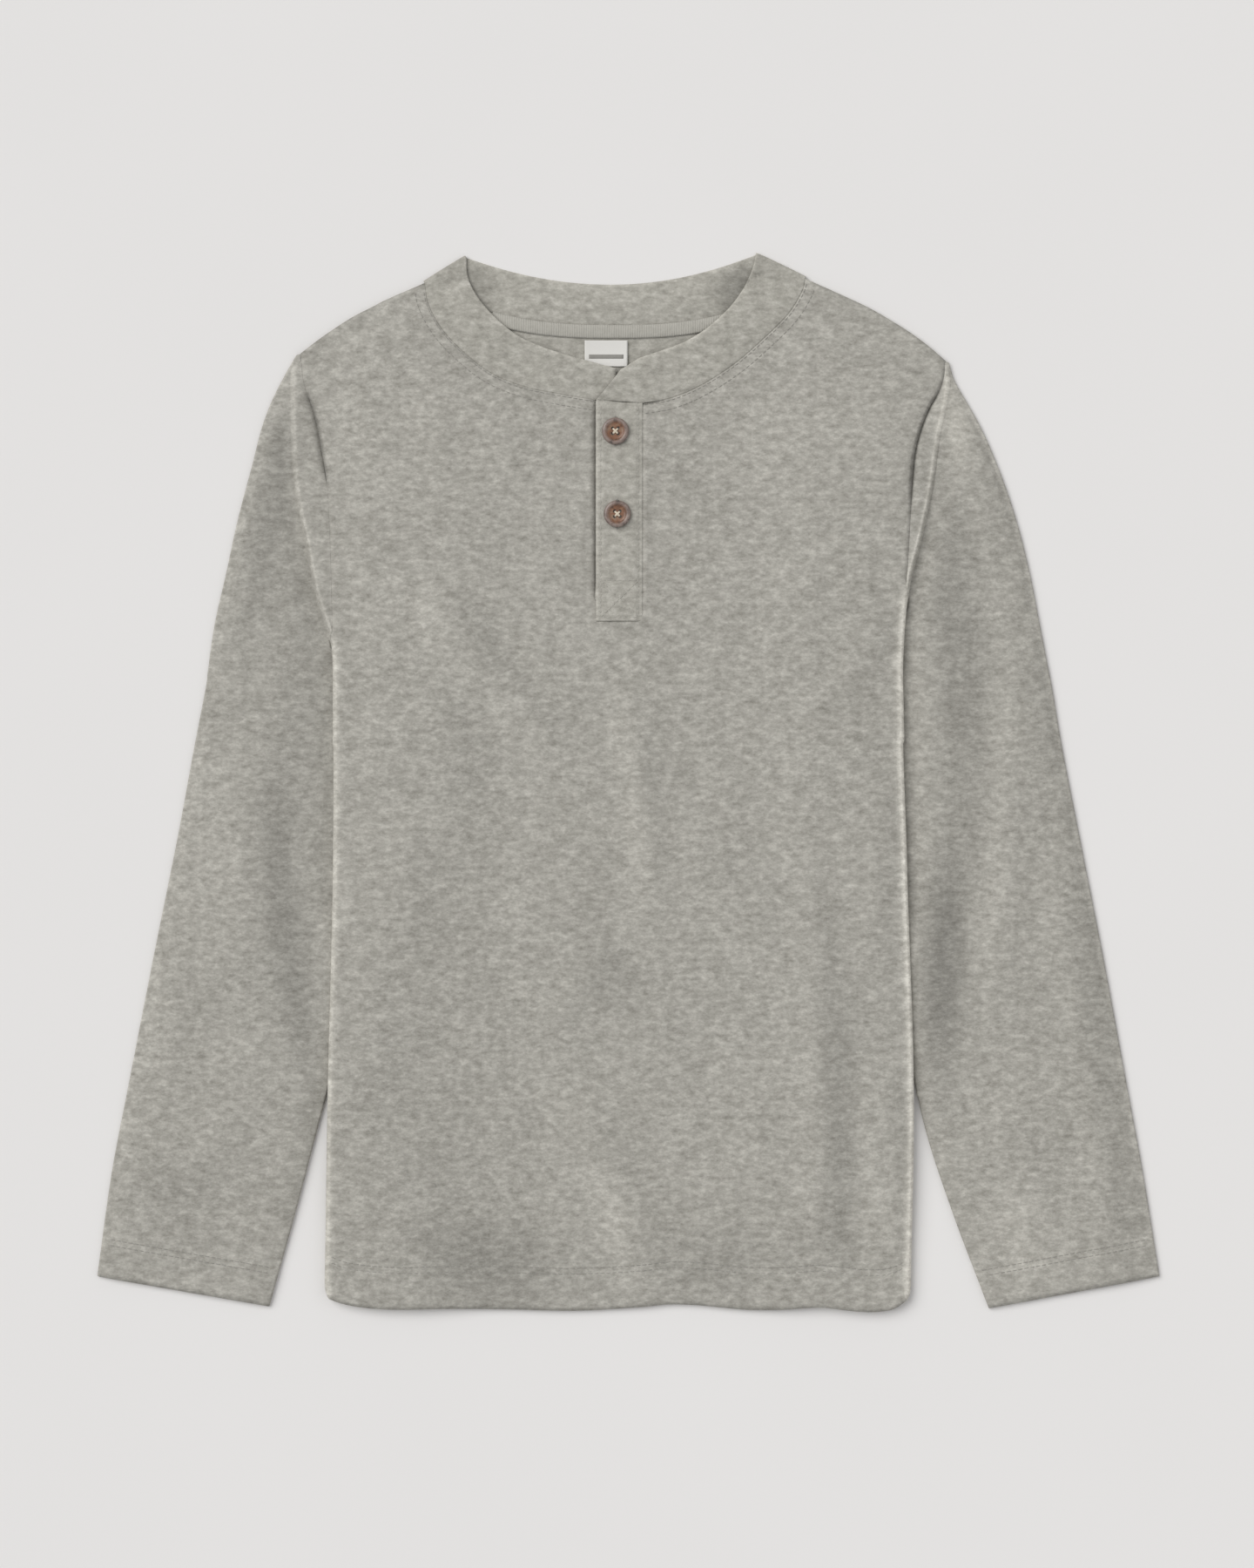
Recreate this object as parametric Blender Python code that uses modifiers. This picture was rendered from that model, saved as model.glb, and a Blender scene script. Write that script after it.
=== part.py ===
"""Henley shirt laid flat: sides folded under, sleeves drawn down beside the body.

Shapes are worked out in millimetres on the laying surface (x across, y towards the neck,
z up) and written to the meshes in metres. Every piece of cloth is an open surface at the
middle of its wall, given its thickness by Solidify.
"""
import math

import bmesh
import bpy
import numpy as np

MM = 0.001

# --- cloth and layers ---
WALL = 1.0              # thickness of the knit
PITCH = 1.4             # height from one laid layer to the next
HALF = WALL / 2
SEAM_GAP = 0.3          # between pieces that are sewn edge to edge
TRIM_WALL = 0.7         # tape and label

# --- sizes of the laid shirt ---
FLAP = 46.0             # how far each side is folded under
RAMP = 42.0             # over which a layer comes down beside what lifts it
SLEEVE_ROOM = 6.0       # flat margin of the body past the sleeve beneath it
FULLNESS = 2.0          # air between front and back in the middle
FULL_RAMP = 26.0        # over which that air opens from an edge
STEP = 4.0              # width of the rise at the fold of the sleeve cap
TIP_Y = 220.0           # shoulder tip
UNDERARM_Y = 66.0       # where the armhole seam turns under the body
CAP_ENDS = (76.0, 88.0) # over this stretch the cap's rise beside the armhole dies out
TIP_INSET = 2.5         # from the shoulder line to the top of a sleeve cap
LAP_LENGTH = 15.0       # over which the band's right end climbs over its left one
NECK_CURVE = 2.6        # power of the back neck seam's rise to the shoulders

# Edges of the body: y, left x, right x. Armhole seam down to the underarm, side fold below.
BODY_EDGE = (
    (220.0, -169.5, 164.5),
    (207.0, -168.0, 162.5),
    (192.0, -162.7, 154.6),
    (174.0, -159.0, 148.7),
    (156.0, -156.0, 146.5),
    (134.0, -154.6, 145.6),
    (100.0, -153.3, 143.6),
    (66.0, -152.8, 142.0),
    (-46.0, -152.8, 144.2),
    (-163.0, -155.5, 147.6),
    (-262.0, -157.0, 146.2),
)

# Fold of the sleeve cap beside the armhole: y, left x, right x.
CAP_FOLD = (
    (214.0, -175.0, 167.5),
    (200.0, -175.0, 166.0),
    (178.0, -174.6, 161.3),
    (152.0, -172.6, 157.5),
    (125.0, -167.2, 151.6),
    (98.0, -161.8, 146.4),
    (73.0, -154.8, 143.0),
)

# Sleeves below the cap: outer x, outer y, inner x, inner y.
SLEEVE_LEFT = (
    (-219.0, 48.0, -101.0, 44.0),
    (-225.0, 17.0, -113.0, -1.0),
    (-233.3, -28.0, -126.7, -51.0),
    (-246.0, -91.0, -143.8, -114.0),
    (-258.3, -154.0, -160.0, -174.0),
    (-267.5, -202.0, -172.1, -220.0),
    (-275.0, -255.5, -186.3, -271.0),
)
SLEEVE_RIGHT = (
    (219.6, 48.0, 102.8, 44.0),
    (224.8, 17.0, 114.0, -1.0),
    (233.6, -28.0, 127.6, -51.0),
    (246.0, -91.0, 140.6, -114.0),
    (257.6, -154.0, 152.8, -174.0),
    (266.4, -202.0, 167.4, -220.0),
    (275.0, -255.5, 187.0, -272.0),
)

# Outer edge of the caps: y, left x, right x.
CAP_OUTER = (
    (221.0, -172.4, 166.6),
    (208.0, -179.3, 170.3),
    (188.0, -188.3, 180.2),
    (163.0, -195.1, 191.5),
    (134.0, -202.7, 201.4),
    (109.0, -208.1, 207.7),
    (83.0, -214.0, 212.8),
    (48.0, -219.0, 219.6),
)

# Neck, from the placket out to the shoulder: seam x, seam y, band edge x, band edge y,
# and the x that the panel's column settles to below the chest.
NECK_LEFT = (
    (-17.3, 197.8, -19.5, 217.3, -17.3),
    (-36.0, 200.8, -34.0, 221.4, -30.0),
    (-54.0, 204.6, -46.5, 225.8, -43.0),
    (-70.0, 211.0, -58.0, 231.2, -56.0),
    (-84.0, 221.3, -69.0, 240.2, -69.0),
    (-96.5, 234.5, -78.0, 250.6, -81.0),
    (-103.5, 247.5, -83.2, 261.4, -90.0),
    (-105.5, 258.3, -84.0, 271.6, -98.0),
)
NECK_RIGHT = (
    (7.4, 196.0, 5.5, 219.0, 7.4),
    (22.0, 198.6, 17.5, 223.2, 20.0),
    (38.0, 205.4, 29.5, 227.8, 34.0),
    (55.0, 216.4, 41.5, 235.2, 48.0),
    (70.0, 229.4, 53.0, 246.0, 61.0),
    (82.6, 242.0, 60.6, 257.0, 73.0),
    (90.0, 254.0, 64.8, 267.0, 82.0),
    (91.6, 260.6, 65.9, 273.0, 90.0),
)
BAND_END_UNDER = (-6.0, 197.2, -6.5, 214.0)     # seam x, y and edge x, y of the end beneath
BAND_END_OVER = (-16.4, 197.8, -4.3, 212.6)     # the same for the end that laps over it

BACK_SEAM_Y = 235.8     # back neck seam at its middle
BACK_EDGE_Y = 257.4     # free edge of the band at the same place

# Shoulder line: x, y.
SHOULDER = (
    (-169.5, 222.0), (-161.0, 228.6), (-153.7, 233.8), (-142.0, 241.2), (-122.2, 251.2),
    (-105.5, 258.3), (-84.0, 271.6), (65.9, 273.0), (91.6, 260.6), (105.1, 254.8),
    (125.3, 245.2), (143.3, 234.6), (154.0, 226.8), (164.5, 218.0),
)

# Where a sleeve's inner edge goes in under the body: distance out from the side, y.
SLEEVE_UNDER = ((0.9, 83.0), (0.9, 75.0), (-24.0, 58.0))
LAST_CAP_Y = 62.0       # outer end of the cap's last row

# Lower edge of the body: x, y.
HEM = (
    (-160.0, -262.0), (-150.0, -268.0), (-142.0, -270.6), (-66.0, -273.0), (-20.0, -273.0),
    (20.0, -269.6), (60.0, -273.0), (98.0, -270.2), (125.0, -273.0), (140.0, -271.5),
    (148.0, -262.0),
)

# --- placket and trims ---
SLIT_BOTTOM = 94.0      # end of the slit in the front
PLACKET_BOTTOM = 83.3
TAPE_WIDTH = 6.8
TAPE_SPAN = (-70.0, 55.0)
LABEL_X = (-22.6, -0.4)
LABEL_Y = (215.2, 228.6)
BUTTON_CENTRES = {"button_upper": (-6.7, 181.4), "button_lower": (-5.7, 138.6)}
BUTTON_RADIUS = 7.0
BUTTON_HEIGHT = 2.4
HOLE_RADIUS = 0.8
HOLE_OFFSET = 1.5
CUTTER_DEPTH = 9.6      # long enough to go right through

# --- grids ---
ROWS = (0.0, 0.05, 0.10, 0.16, 0.22, 0.27, 0.3195, 0.36, 0.41, 0.47, 0.54, 0.62, 0.70,
        0.78, 0.86, 0.93, 1.0)          # share of the way from the top edge to the hem
SLIT_ROW = 4            # row at the end of the slit
FOLD_ROW = 6            # first row that is folded under
FLAP_START = 0.25       # share of the flap's width at its first row
FLAP_ROWS = 2.0         # rows over which it comes to full width
SIDE_STEPS = (9.0, 18.0, 27.0, 36.0, FLAP)      # columns by distance from the side
COLUMN_SETTLE = 140.0   # length over which a column leaves its neck point
ARC_STEPS = 4
FOLD_SHARE = (0.3, 0.86)    # limits of the cap fold's place across a sleeve
LOWER_SHARE = 0.62          # the same column's place below the cap
TURN = PITCH * 1.5 + HALF       # from the side fold to where both panels run straight

# --- materials: colour, roughness ---
KNIT = ((0.37, 0.35, 0.31), 0.95)
TAPE = ((0.42, 0.40, 0.36), 0.95)
LABEL_CLOTH = ((0.72, 0.70, 0.66), 0.8)
BUTTON_PLASTIC = ((0.16, 0.11, 0.09), 0.45)


def smooth(s):
    """Ease from 0 to 1 over the unit interval, level at both ends."""
    s = np.clip(s, 0.0, 1.0)
    return s * s * (3 - 2 * s)


def across(table, y, column):
    """The value in a table's column at height y, its rows running downwards."""
    rows = np.array(table)[::-1]
    return np.interp(y, rows[:, 0], rows[:, column])


def edge_x(y, side):
    """Armhole or side fold at height y; side is -1 for the left and 1 for the right."""
    return across(BODY_EDGE, y, 1 if side < 0 else 2)


def sleeve_inner_x(y, side):
    """Inner edge of the sleeve under the body at height y."""
    table = np.array(SLEEVE_LEFT if side < 0 else SLEEVE_RIGHT)[::-1]
    return np.interp(y, table[:, 3], table[:, 2])


def shoulder_y(x):
    """The shoulder line: bowed up a little from each tip to the neck."""
    table = np.array(SHOULDER)
    return np.interp(x, table[:, 0], table[:, 1])


def taper(y):
    """How far the folds beside the body have opened, from the shoulder tip to the underarm."""
    return smooth((TIP_Y - y) / (TIP_Y - UNDERARM_Y))


def sleeve_lift(x, y):
    """Height that the sleeves beneath give whatever lies on them."""
    total = 0.0
    for side in (-1, 1):
        past = side * (sleeve_inner_x(y, side) - x) - SLEEVE_ROOM
        total = total + 1 - smooth(past / RAMP)
    return 2 * PITCH * total * taper(y)


def flap_lift(x, y):
    """Height that the folded-under sides give the panels above them."""
    total = 0.0
    for side in (-1, 1):
        past = side * (edge_x(y, side) - x) - FLAP - 2
        total = total + 1 - smooth(past / RAMP)
    return 2 * PITCH * total * taper(y)


def lift(x, y):
    """Underside of the back panel above the laying surface."""
    return sleeve_lift(x, y) + flap_lift(x, y)


def fullness(x, y):
    """Air between back and front: none along the shoulders and sides, even in the middle."""
    sides = smooth((x - edge_x(y, -1)) / FULL_RAMP) * smooth((edge_x(y, 1) - x) / FULL_RAMP)
    return FULLNESS * sides * smooth((shoulder_y(x) - y) / FULL_RAMP)


def front_z(x, y):
    """Middle of the front panel's wall."""
    return lift(x, y) + fullness(x, y) + PITCH + HALF


def back_neck_y(x):
    """Back neck seam: flat in the middle, rising to the shoulders."""
    left, right = NECK_LEFT[-1], NECK_RIGHT[-1]
    middle, reach = (left[0] + right[0]) / 2, (right[0] - left[0]) / 2
    s = np.abs((x - middle) / reach)
    ends = np.where(x < middle, left[1], right[1])
    return BACK_SEAM_Y + (ends - BACK_SEAM_Y) * s ** NECK_CURVE


def side_columns(side):
    """Columns beside one fold: distance from it, for the panel's outermost strips."""
    return [(side, step) for step in (0.0,) + SIDE_STEPS]


def panel_grid(neck_y):
    """x and y of a body panel, rows down the panel and columns from left to right.

    Outer columns keep their distance from the side; the others run down from their place
    on the neck seam. Rows share the way from the top edge to the hem.
    """
    v = np.array(ROWS)
    xs, ys = [], []
    middle = [(row[0], row[4]) for row in NECK_LEFT[::-1]] + [(row[0], row[4]) for row in NECK_RIGHT]
    for side, step in side_columns(-1):
        add_side_column(xs, ys, side, step, v)
    for top_x, low_x in middle:
        top_y, low_y = neck_y(top_x), hem_y(low_x)
        y = top_y + (low_y - top_y) * v
        xs.append(top_x + (low_x - top_x) * smooth((top_y - y) / COLUMN_SETTLE))
        ys.append(y)
    for side, step in side_columns(1)[::-1]:
        add_side_column(xs, ys, side, step, v)
    return np.array(xs).T, np.array(ys).T


def add_side_column(xs, ys, side, step, v):
    """Append one column that stays a step inside the armhole and the side fold."""
    inward = -side * step
    top_y = shoulder_y(edge_x(TIP_Y, side) + inward)
    low_y = hem_y(edge_x(HEM[0][1], side) + inward)
    y = top_y + (low_y - top_y) * v
    if step == 0.0:
        gap = np.where(np.arange(len(v)) < FOLD_ROW, 0.0, TURN)
        inward = -side * gap
    xs.append(edge_x(y, side) + inward)
    ys.append(y)


def hem_y(x):
    """Lower edge of the body."""
    table = np.array(HEM)
    return np.interp(x, table[:, 0], table[:, 1])


def front_neck_y(x):
    """Front neck seam."""
    rows = np.array(NECK_LEFT[::-1] + NECK_RIGHT)
    return np.interp(x, rows[:, 0], rows[:, 1])


def folded_panel(neck_y, top_z, radius, flap_z):
    """A body panel with its sides turned under: points and the cells that are cloth.

    Columns run from the left flap's inner edge, round the left fold, over the panel,
    round the right fold and under to the right flap's inner edge.
    """
    x, y = panel_grid(neck_y)
    z = top_z(x, y)
    turned = np.arange(len(ROWS)) >= FOLD_ROW
    spread = FLAP_START + (1 - FLAP_START) * smooth((np.arange(len(ROWS)) - FOLD_ROW) / FLAP_ROWS)
    parts, cloth = [], []
    for side in (-1, 1):
        column = 0 if side < 0 else -1
        fold_x, fold_y, high = x[:, column], y[:, column], z[:, column]
        low = flap_z(fold_x, fold_y)
        strip = []
        for k in range(1, ARC_STEPS + 1):
            angle = math.pi * k / ARC_STEPS
            bulge = side * radius * math.sin(angle)
            height = (high + low) / 2 + (high - low) / 2 * math.cos(angle)
            strip.append((fold_x + bulge, fold_y, height))
        for step in SIDE_STEPS:
            reach = TURN + (step - TURN) * spread
            under_x = edge_x(fold_y, side) - side * reach
            index = 1 + SIDE_STEPS.index(step)
            under_y = y[:, index if side < 0 else -1 - index]
            strip.append((under_x, under_y, flap_z(under_x, under_y)))
        parts.append(strip)
        cloth.append(len(strip))
    left = [np.stack(p, axis=1) for p in parts[0][::-1]]
    right = [np.stack(p, axis=1) for p in parts[1]]
    middle = [np.stack((x[:, j], y[:, j], z[:, j]), axis=1) for j in range(x.shape[1])]
    points = np.stack(left + middle + right, axis=1)
    cells = np.ones((points.shape[0] - 1, points.shape[1] - 1), bool)
    cells[:FOLD_ROW, :cloth[0]] = False
    cells[:FOLD_ROW, -cloth[1]:] = False
    return points, cells


def sheet(name, points, cells, wall, material, collection):
    """A piece of cloth: the grid of middle points, its cells, thickened by its wall."""
    rows, cols = points.shape[:2]
    index = np.arange(rows * cols).reshape(rows, cols)
    quads = np.stack((index[:-1, :-1], index[1:, :-1], index[1:, 1:], index[:-1, 1:]), axis=-1)
    mesh = bpy.data.meshes.new(name)
    mesh.from_pydata((points.reshape(-1, 3) * MM).tolist(), [], quads[cells].tolist())
    bm = bmesh.new()
    bm.from_mesh(mesh)
    bmesh.ops.delete(bm, geom=[v for v in bm.verts if not v.link_faces], context="VERTS")
    bm.to_mesh(mesh)
    bm.free()
    piece = bpy.data.objects.new(name, mesh)
    collection.objects.link(piece)
    thick = piece.modifiers.new("wall", "SOLIDIFY")
    thick.thickness = wall * MM
    thick.offset = 0.0
    thick.use_even_offset = True
    mesh.materials.append(material)
    return piece


def whole(points):
    """Every cell of a grid."""
    return np.ones((points.shape[0] - 1, points.shape[1] - 1), bool)


def make_material(name, finish):
    """A plain Principled material."""
    colour, roughness = finish
    material = bpy.data.materials.new(name)
    material.use_nodes = True
    shader = material.node_tree.nodes["Principled BSDF"]
    shader.inputs["Base Color"].default_value = (*colour, 1.0)
    shader.inputs["Roughness"].default_value = roughness
    shader.inputs["Metallic"].default_value = 0.0
    return material


def make_front(material, collection):
    """The front, slit from the neck down for the placket."""
    points, cells = folded_panel(
        front_neck_y, front_z, PITCH * 1.5, lambda x, y: sleeve_lift(x, y) + HALF)
    first = ARC_STEPS + len(SIDE_STEPS) + 1 + len(SIDE_STEPS) + len(NECK_LEFT) - 1
    cells[:SLIT_ROW, first] = False
    return sheet("front", points, cells, WALL, material, collection)


def make_back(material, collection):
    """The back, whose turned-under sides lie between it and those of the front."""
    points, cells = folded_panel(
        back_neck_y, lambda x, y: lift(x, y) + HALF, PITCH / 2,
        lambda x, y: sleeve_lift(x, y) + PITCH + HALF)
    return sheet("back", points, cells, WALL, material, collection)


def cap_lift(x, y, side):
    """Rise of the sleeve cap at its fold, up to the front panel beside the armhole."""
    fold = across(CAP_FOLD, y, 1 if side < 0 else 2)
    inward = side * (fold - x) + STEP / 2
    high = 4 * PITCH * taper(y)
    fade = smooth((y - CAP_ENDS[0]) / (CAP_ENDS[1] - CAP_ENDS[0]))
    return high * smooth(inward / STEP) * fade


def sleeve_rows(side):
    """Outer and inner ends of each row of a sleeve, from the shoulder to the cuff."""
    v = np.array(ROWS[:FOLD_ROW])
    top_y = shoulder_y(edge_x(TIP_Y, side))
    cap_y = top_y + (HEM[0][1] - top_y) * v
    cap_y[0] -= TIP_INSET
    table = SLEEVE_LEFT if side < 0 else SLEEVE_RIGHT
    inner = [(edge_x(y, side) + side * SEAM_GAP, y) for y in cap_y]
    inner += [(edge_x(y, side) + side * out, y) for out, y in SLEEVE_UNDER]
    outer_y = np.linspace(cap_y[0] + 1.0, LAST_CAP_Y, len(inner))
    outer = [(across(CAP_OUTER, y, 1 if side < 0 else 2), y) for y in outer_y]
    for row in table:
        outer.append(row[:2])
        inner.append(row[2:])
    return np.array(outer), np.array(inner)


def make_sleeve(name, side, material, collection):
    """A sleeve laid flat: along the floor, round its outer fold and back over itself.

    Its two edges meet along the underarm seam at the inner side. Over the cap the upper
    layer rises at a fold to lie beside the front panel.
    """
    outer, inner = sleeve_rows(side)
    rows = len(outer)
    direction = inner - outer
    length = np.linalg.norm(direction, axis=1, keepdims=True)
    unit = direction / length
    radius = PITCH / 2
    start = outer + unit * (radius + HALF)
    fold = across(CAP_FOLD, outer[:, 1] * 0.5 + inner[:, 1] * 0.5, 1 if side < 0 else 2)
    share = (fold - start[:, 0]) / (inner[:, 0] - start[:, 0])
    share = np.where(np.arange(rows) < FOLD_ROW + 1, np.clip(share, *FOLD_SHARE), LOWER_SHARE)
    half_step = np.minimum(STEP / 2 / length[:, 0], 0.1)
    columns = []
    for part in (1.0, 0.75, 0.5, 0.25):
        columns.append((start + (inner - start) * part, 0.0))
    for k in range(ARC_STEPS + 1):
        angle = math.pi * k / ARC_STEPS
        columns.append((start - unit * radius * math.sin(angle), radius - radius * math.cos(angle)))
    above = [share * 0.33, share * 0.67, share - half_step, share + half_step,
             (share + half_step + 1) / 2, np.ones(rows)]
    for part in above:
        columns.append((start + (inner - start) * part[:, None], PITCH))
    points = np.zeros((rows, len(columns), 3))
    for j, (place, height) in enumerate(columns):
        points[:, j, :2] = place
        points[:, j, 2] = height + HALF
        if j > 4 + ARC_STEPS:
            points[:, j, 2] += cap_lift(place[:, 0], place[:, 1], side)
    return sheet(name, points, whole(points), WALL, material, collection)


def band_row(seam, edge, steps=3):
    """Points up the band from the seam to its free edge, clear of the seam."""
    seam, edge = np.array(seam, float), np.array(edge, float)
    up = (edge - seam) / np.linalg.norm(edge - seam)
    return [seam + up * SEAM_GAP + (edge - seam - up * SEAM_GAP) * k / steps for k in range(steps + 1)]


def lap_rise(x):
    """The right end of the band climbs one layer to lie over the left end."""
    return PITCH * (1 - smooth((x - NECK_RIGHT[0][0]) / LAP_LENGTH))


def make_neckband(material, collection):
    """One strip round the neck: over the front, folded at each shoulder, along the back."""
    rows = []

    def lay(seam, edge, height):
        rows.append([(p[0], p[1], height(p[0], p[1])) for p in band_row(seam, edge)])

    def turn(seam, edge, side, downwards):
        seam, edge = np.array(seam), np.array(edge)
        up = (edge - seam) / np.linalg.norm(edge - seam)
        out = np.array((up[1], -up[0])) * side
        places = band_row(seam, edge)
        angles = [math.pi * k / ARC_STEPS for k in range(1, ARC_STEPS)]
        for angle in angles if downwards else angles[::-1]:
            row = []
            for p in places:
                high = front_z(p[0], p[1])
                middle, radius = (high + HALF) / 2, (high - HALF) / 2
                q = p + out * radius * math.sin(angle)
                row.append((q[0], q[1], middle + radius * math.cos(angle)))
            rows.append(row)

    def over(x, y):
        return front_z(x, y) + lap_rise(x)

    lay(BAND_END_OVER[:2], BAND_END_OVER[2:], over)
    for row in NECK_RIGHT:
        lay(row[:2], row[2:4], over)
    turn(NECK_RIGHT[-1][:2], NECK_RIGHT[-1][2:4], 1, True)
    ends = NECK_RIGHT[-1], NECK_LEFT[-1]
    middle = (ends[0][0] + ends[1][0]) / 2
    reach = (ends[0][0] - ends[1][0]) / 2
    for x in [row[0] for row in NECK_RIGHT[::-1]] + [row[0] for row in NECK_LEFT]:
        s = (x - middle) / reach
        edge_end = ends[0] if s > 0 else ends[1]
        free_x = (ends[0][2] + ends[1][2]) / 2 + s * (ends[0][2] - ends[1][2]) / 2
        free_y = BACK_EDGE_Y + (edge_end[3] - BACK_EDGE_Y) * abs(s) ** 2
        lay((x, float(back_neck_y(x))), (free_x, free_y), lambda px, py: HALF)
    turn(NECK_LEFT[-1][:2], NECK_LEFT[-1][2:4], -1, False)
    for row in NECK_LEFT[::-1]:
        lay(row[:2], row[2:4], front_z)
    lay(BAND_END_UNDER[:2], BAND_END_UNDER[2:], front_z)
    points = np.array(rows, float)
    return sheet("neckband", points, whole(points), WALL, material, collection)


def make_placket(name, top_gap, bottom, inset, height, material, collection):
    """A strip down the slit, its points those of the front moved out by a height."""
    left, right = NECK_LEFT[0][0] + inset, NECK_RIGHT[0][0] - inset
    x = np.linspace(left, right, 4)
    top = front_neck_y(x) - top_gap
    v = np.linspace(0.0, 1.0, 9)[:, None]
    y = top + (bottom - top) * v
    x = np.broadcast_to(x, y.shape)
    points = np.stack((x, y, front_z(x, y) + height), axis=-1)
    return sheet(name, points, whole(points), WALL, material, collection)


def make_neck_tape(material, collection):
    """The strip over the back neck seam, lying on the inside of the back."""
    x = np.linspace(*TAPE_SPAN, 13)
    y = back_neck_y(x) - SEAM_GAP
    slope = np.gradient(y, x)
    normal = np.stack((slope, -np.ones_like(slope)), axis=-1) / np.sqrt(1 + slope ** 2)[:, None]
    line = np.stack((x, y), axis=-1)
    rows = [line, line + normal * TAPE_WIDTH]
    points = np.zeros((2, len(x), 3))
    for i, row in enumerate(rows):
        points[i, :, :2] = row
        points[i, :, 2] = lift(row[:, 0], row[:, 1]) + PITCH + TRIM_WALL / 2
    return sheet("neck_tape", points, whole(points), TRIM_WALL, material, collection)


def make_label(material, collection):
    """A small woven label on the inside of the back, under the tape."""
    x, y = np.meshgrid(np.linspace(*LABEL_X, 3), np.linspace(*LABEL_Y[::-1], 4))
    points = np.stack((x, y, lift(x, y) + PITCH + TRIM_WALL / 2), axis=-1)
    return sheet("label", points, whole(points), TRIM_WALL, material, collection)


def make_button(name, centre, material, collection, cutters):
    """A turned button with a raised rim and four sewing holes."""
    r, h = BUTTON_RADIUS, BUTTON_HEIGHT
    outline = ((0.0, h * 0.62), (r * 0.58, h * 0.66), (r * 0.74, h), (r * 0.9, h), (r, h * 0.7),
               (r, h * 0.35), (r * 0.82, 0.0), (0.0, 0.0))
    mesh = bpy.data.meshes.new(name)
    mesh.from_pydata([(x * MM, 0.0, z * MM) for x, z in outline],
                     [(i, i + 1) for i in range(len(outline) - 1)], [])
    button = bpy.data.objects.new(name, mesh)
    collection.objects.link(button)
    base = front_z(*centre) + PITCH + HALF + SEAM_GAP
    button.location = (centre[0] * MM, centre[1] * MM, float(base) * MM)
    turned = button.modifiers.new("turned", "SCREW")
    turned.steps = 24
    turned.render_steps = 24
    turned.use_merge_vertices = True
    turned.merge_threshold = 0.00001
    mesh.materials.append(material)
    for dx in (-1, 1):
        for dy in (-1, 1):
            bpy.ops.mesh.primitive_cylinder_add(vertices=8, radius=HOLE_RADIUS * MM, depth=CUTTER_DEPTH * MM)
            cutter = bpy.context.object
            cutter.name = f"{name}_hole_{dx}_{dy}"
            cutter.location = button.location
            cutter.location.x += dx * HOLE_OFFSET * MM
            cutter.location.y += dy * HOLE_OFFSET * MM
            for owner in list(cutter.users_collection):
                owner.objects.unlink(cutter)
            cutters.objects.link(cutter)
            cutter.hide_render = True
            cutter.display_type = "WIRE"
            hole = button.modifiers.new("hole", "BOOLEAN")
            hole.operation = "DIFFERENCE"
            hole.object = cutter
    return button


def centre_on_origin(collection, cutters):
    """Move everything so that the middle of the whole shirt's box stands on the origin."""
    bpy.context.view_layer.update()
    graph = bpy.context.evaluated_depsgraph_get()
    low, high = np.full(3, np.inf), np.full(3, -np.inf)
    for piece in collection.objects:
        shape = piece.evaluated_get(graph)
        corners = np.array([shape.matrix_world @ v.co for v in shape.data.vertices])
        low, high = np.minimum(low, corners.min(axis=0)), np.maximum(high, corners.max(axis=0))
    shift = ((low[0] + high[0]) / 2, (low[1] + high[1]) / 2, low[2])
    for piece in list(collection.objects) + list(cutters.objects):
        piece.location.x -= shift[0]
        piece.location.y -= shift[1]
        piece.location.z -= shift[2]


def main():
    for old in list(bpy.data.objects):
        bpy.data.objects.remove(old, do_unlink=True)
    shirt = bpy.data.collections.new("henley_shirt")
    cutters = bpy.data.collections.new("cutters")
    for collection in (shirt, cutters):
        bpy.context.scene.collection.children.link(collection)
    knit = {name: make_material(f"{name}_knit", KNIT) for name in (
        "front", "back", "sleeve_left", "sleeve_right", "neckband", "placket_upper", "placket_under")}
    make_front(knit["front"], shirt)
    make_back(knit["back"], shirt)
    make_sleeve("sleeve_left", -1, knit["sleeve_left"], shirt)
    make_sleeve("sleeve_right", 1, knit["sleeve_right"], shirt)
    make_neckband(knit["neckband"], shirt)
    make_placket("placket_under", SEAM_GAP, SLIT_BOTTOM + SEAM_GAP, SEAM_GAP, 0.0,
                 knit["placket_under"], shirt)
    make_placket("placket_upper", SEAM_GAP, PLACKET_BOTTOM, 0.0, PITCH, knit["placket_upper"], shirt)
    make_neck_tape(make_material("neck_tape_cotton", TAPE), shirt)
    make_label(make_material("label_satin", LABEL_CLOTH), shirt)
    for name, centre in BUTTON_CENTRES.items():
        make_button(name, centre, make_material(f"{name}_plastic", BUTTON_PLASTIC), shirt, cutters)
    centre_on_origin(shirt, cutters)


main()
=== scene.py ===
import math

import bmesh
import bpy
import numpy as np
from mathutils import Matrix, Vector


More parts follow.
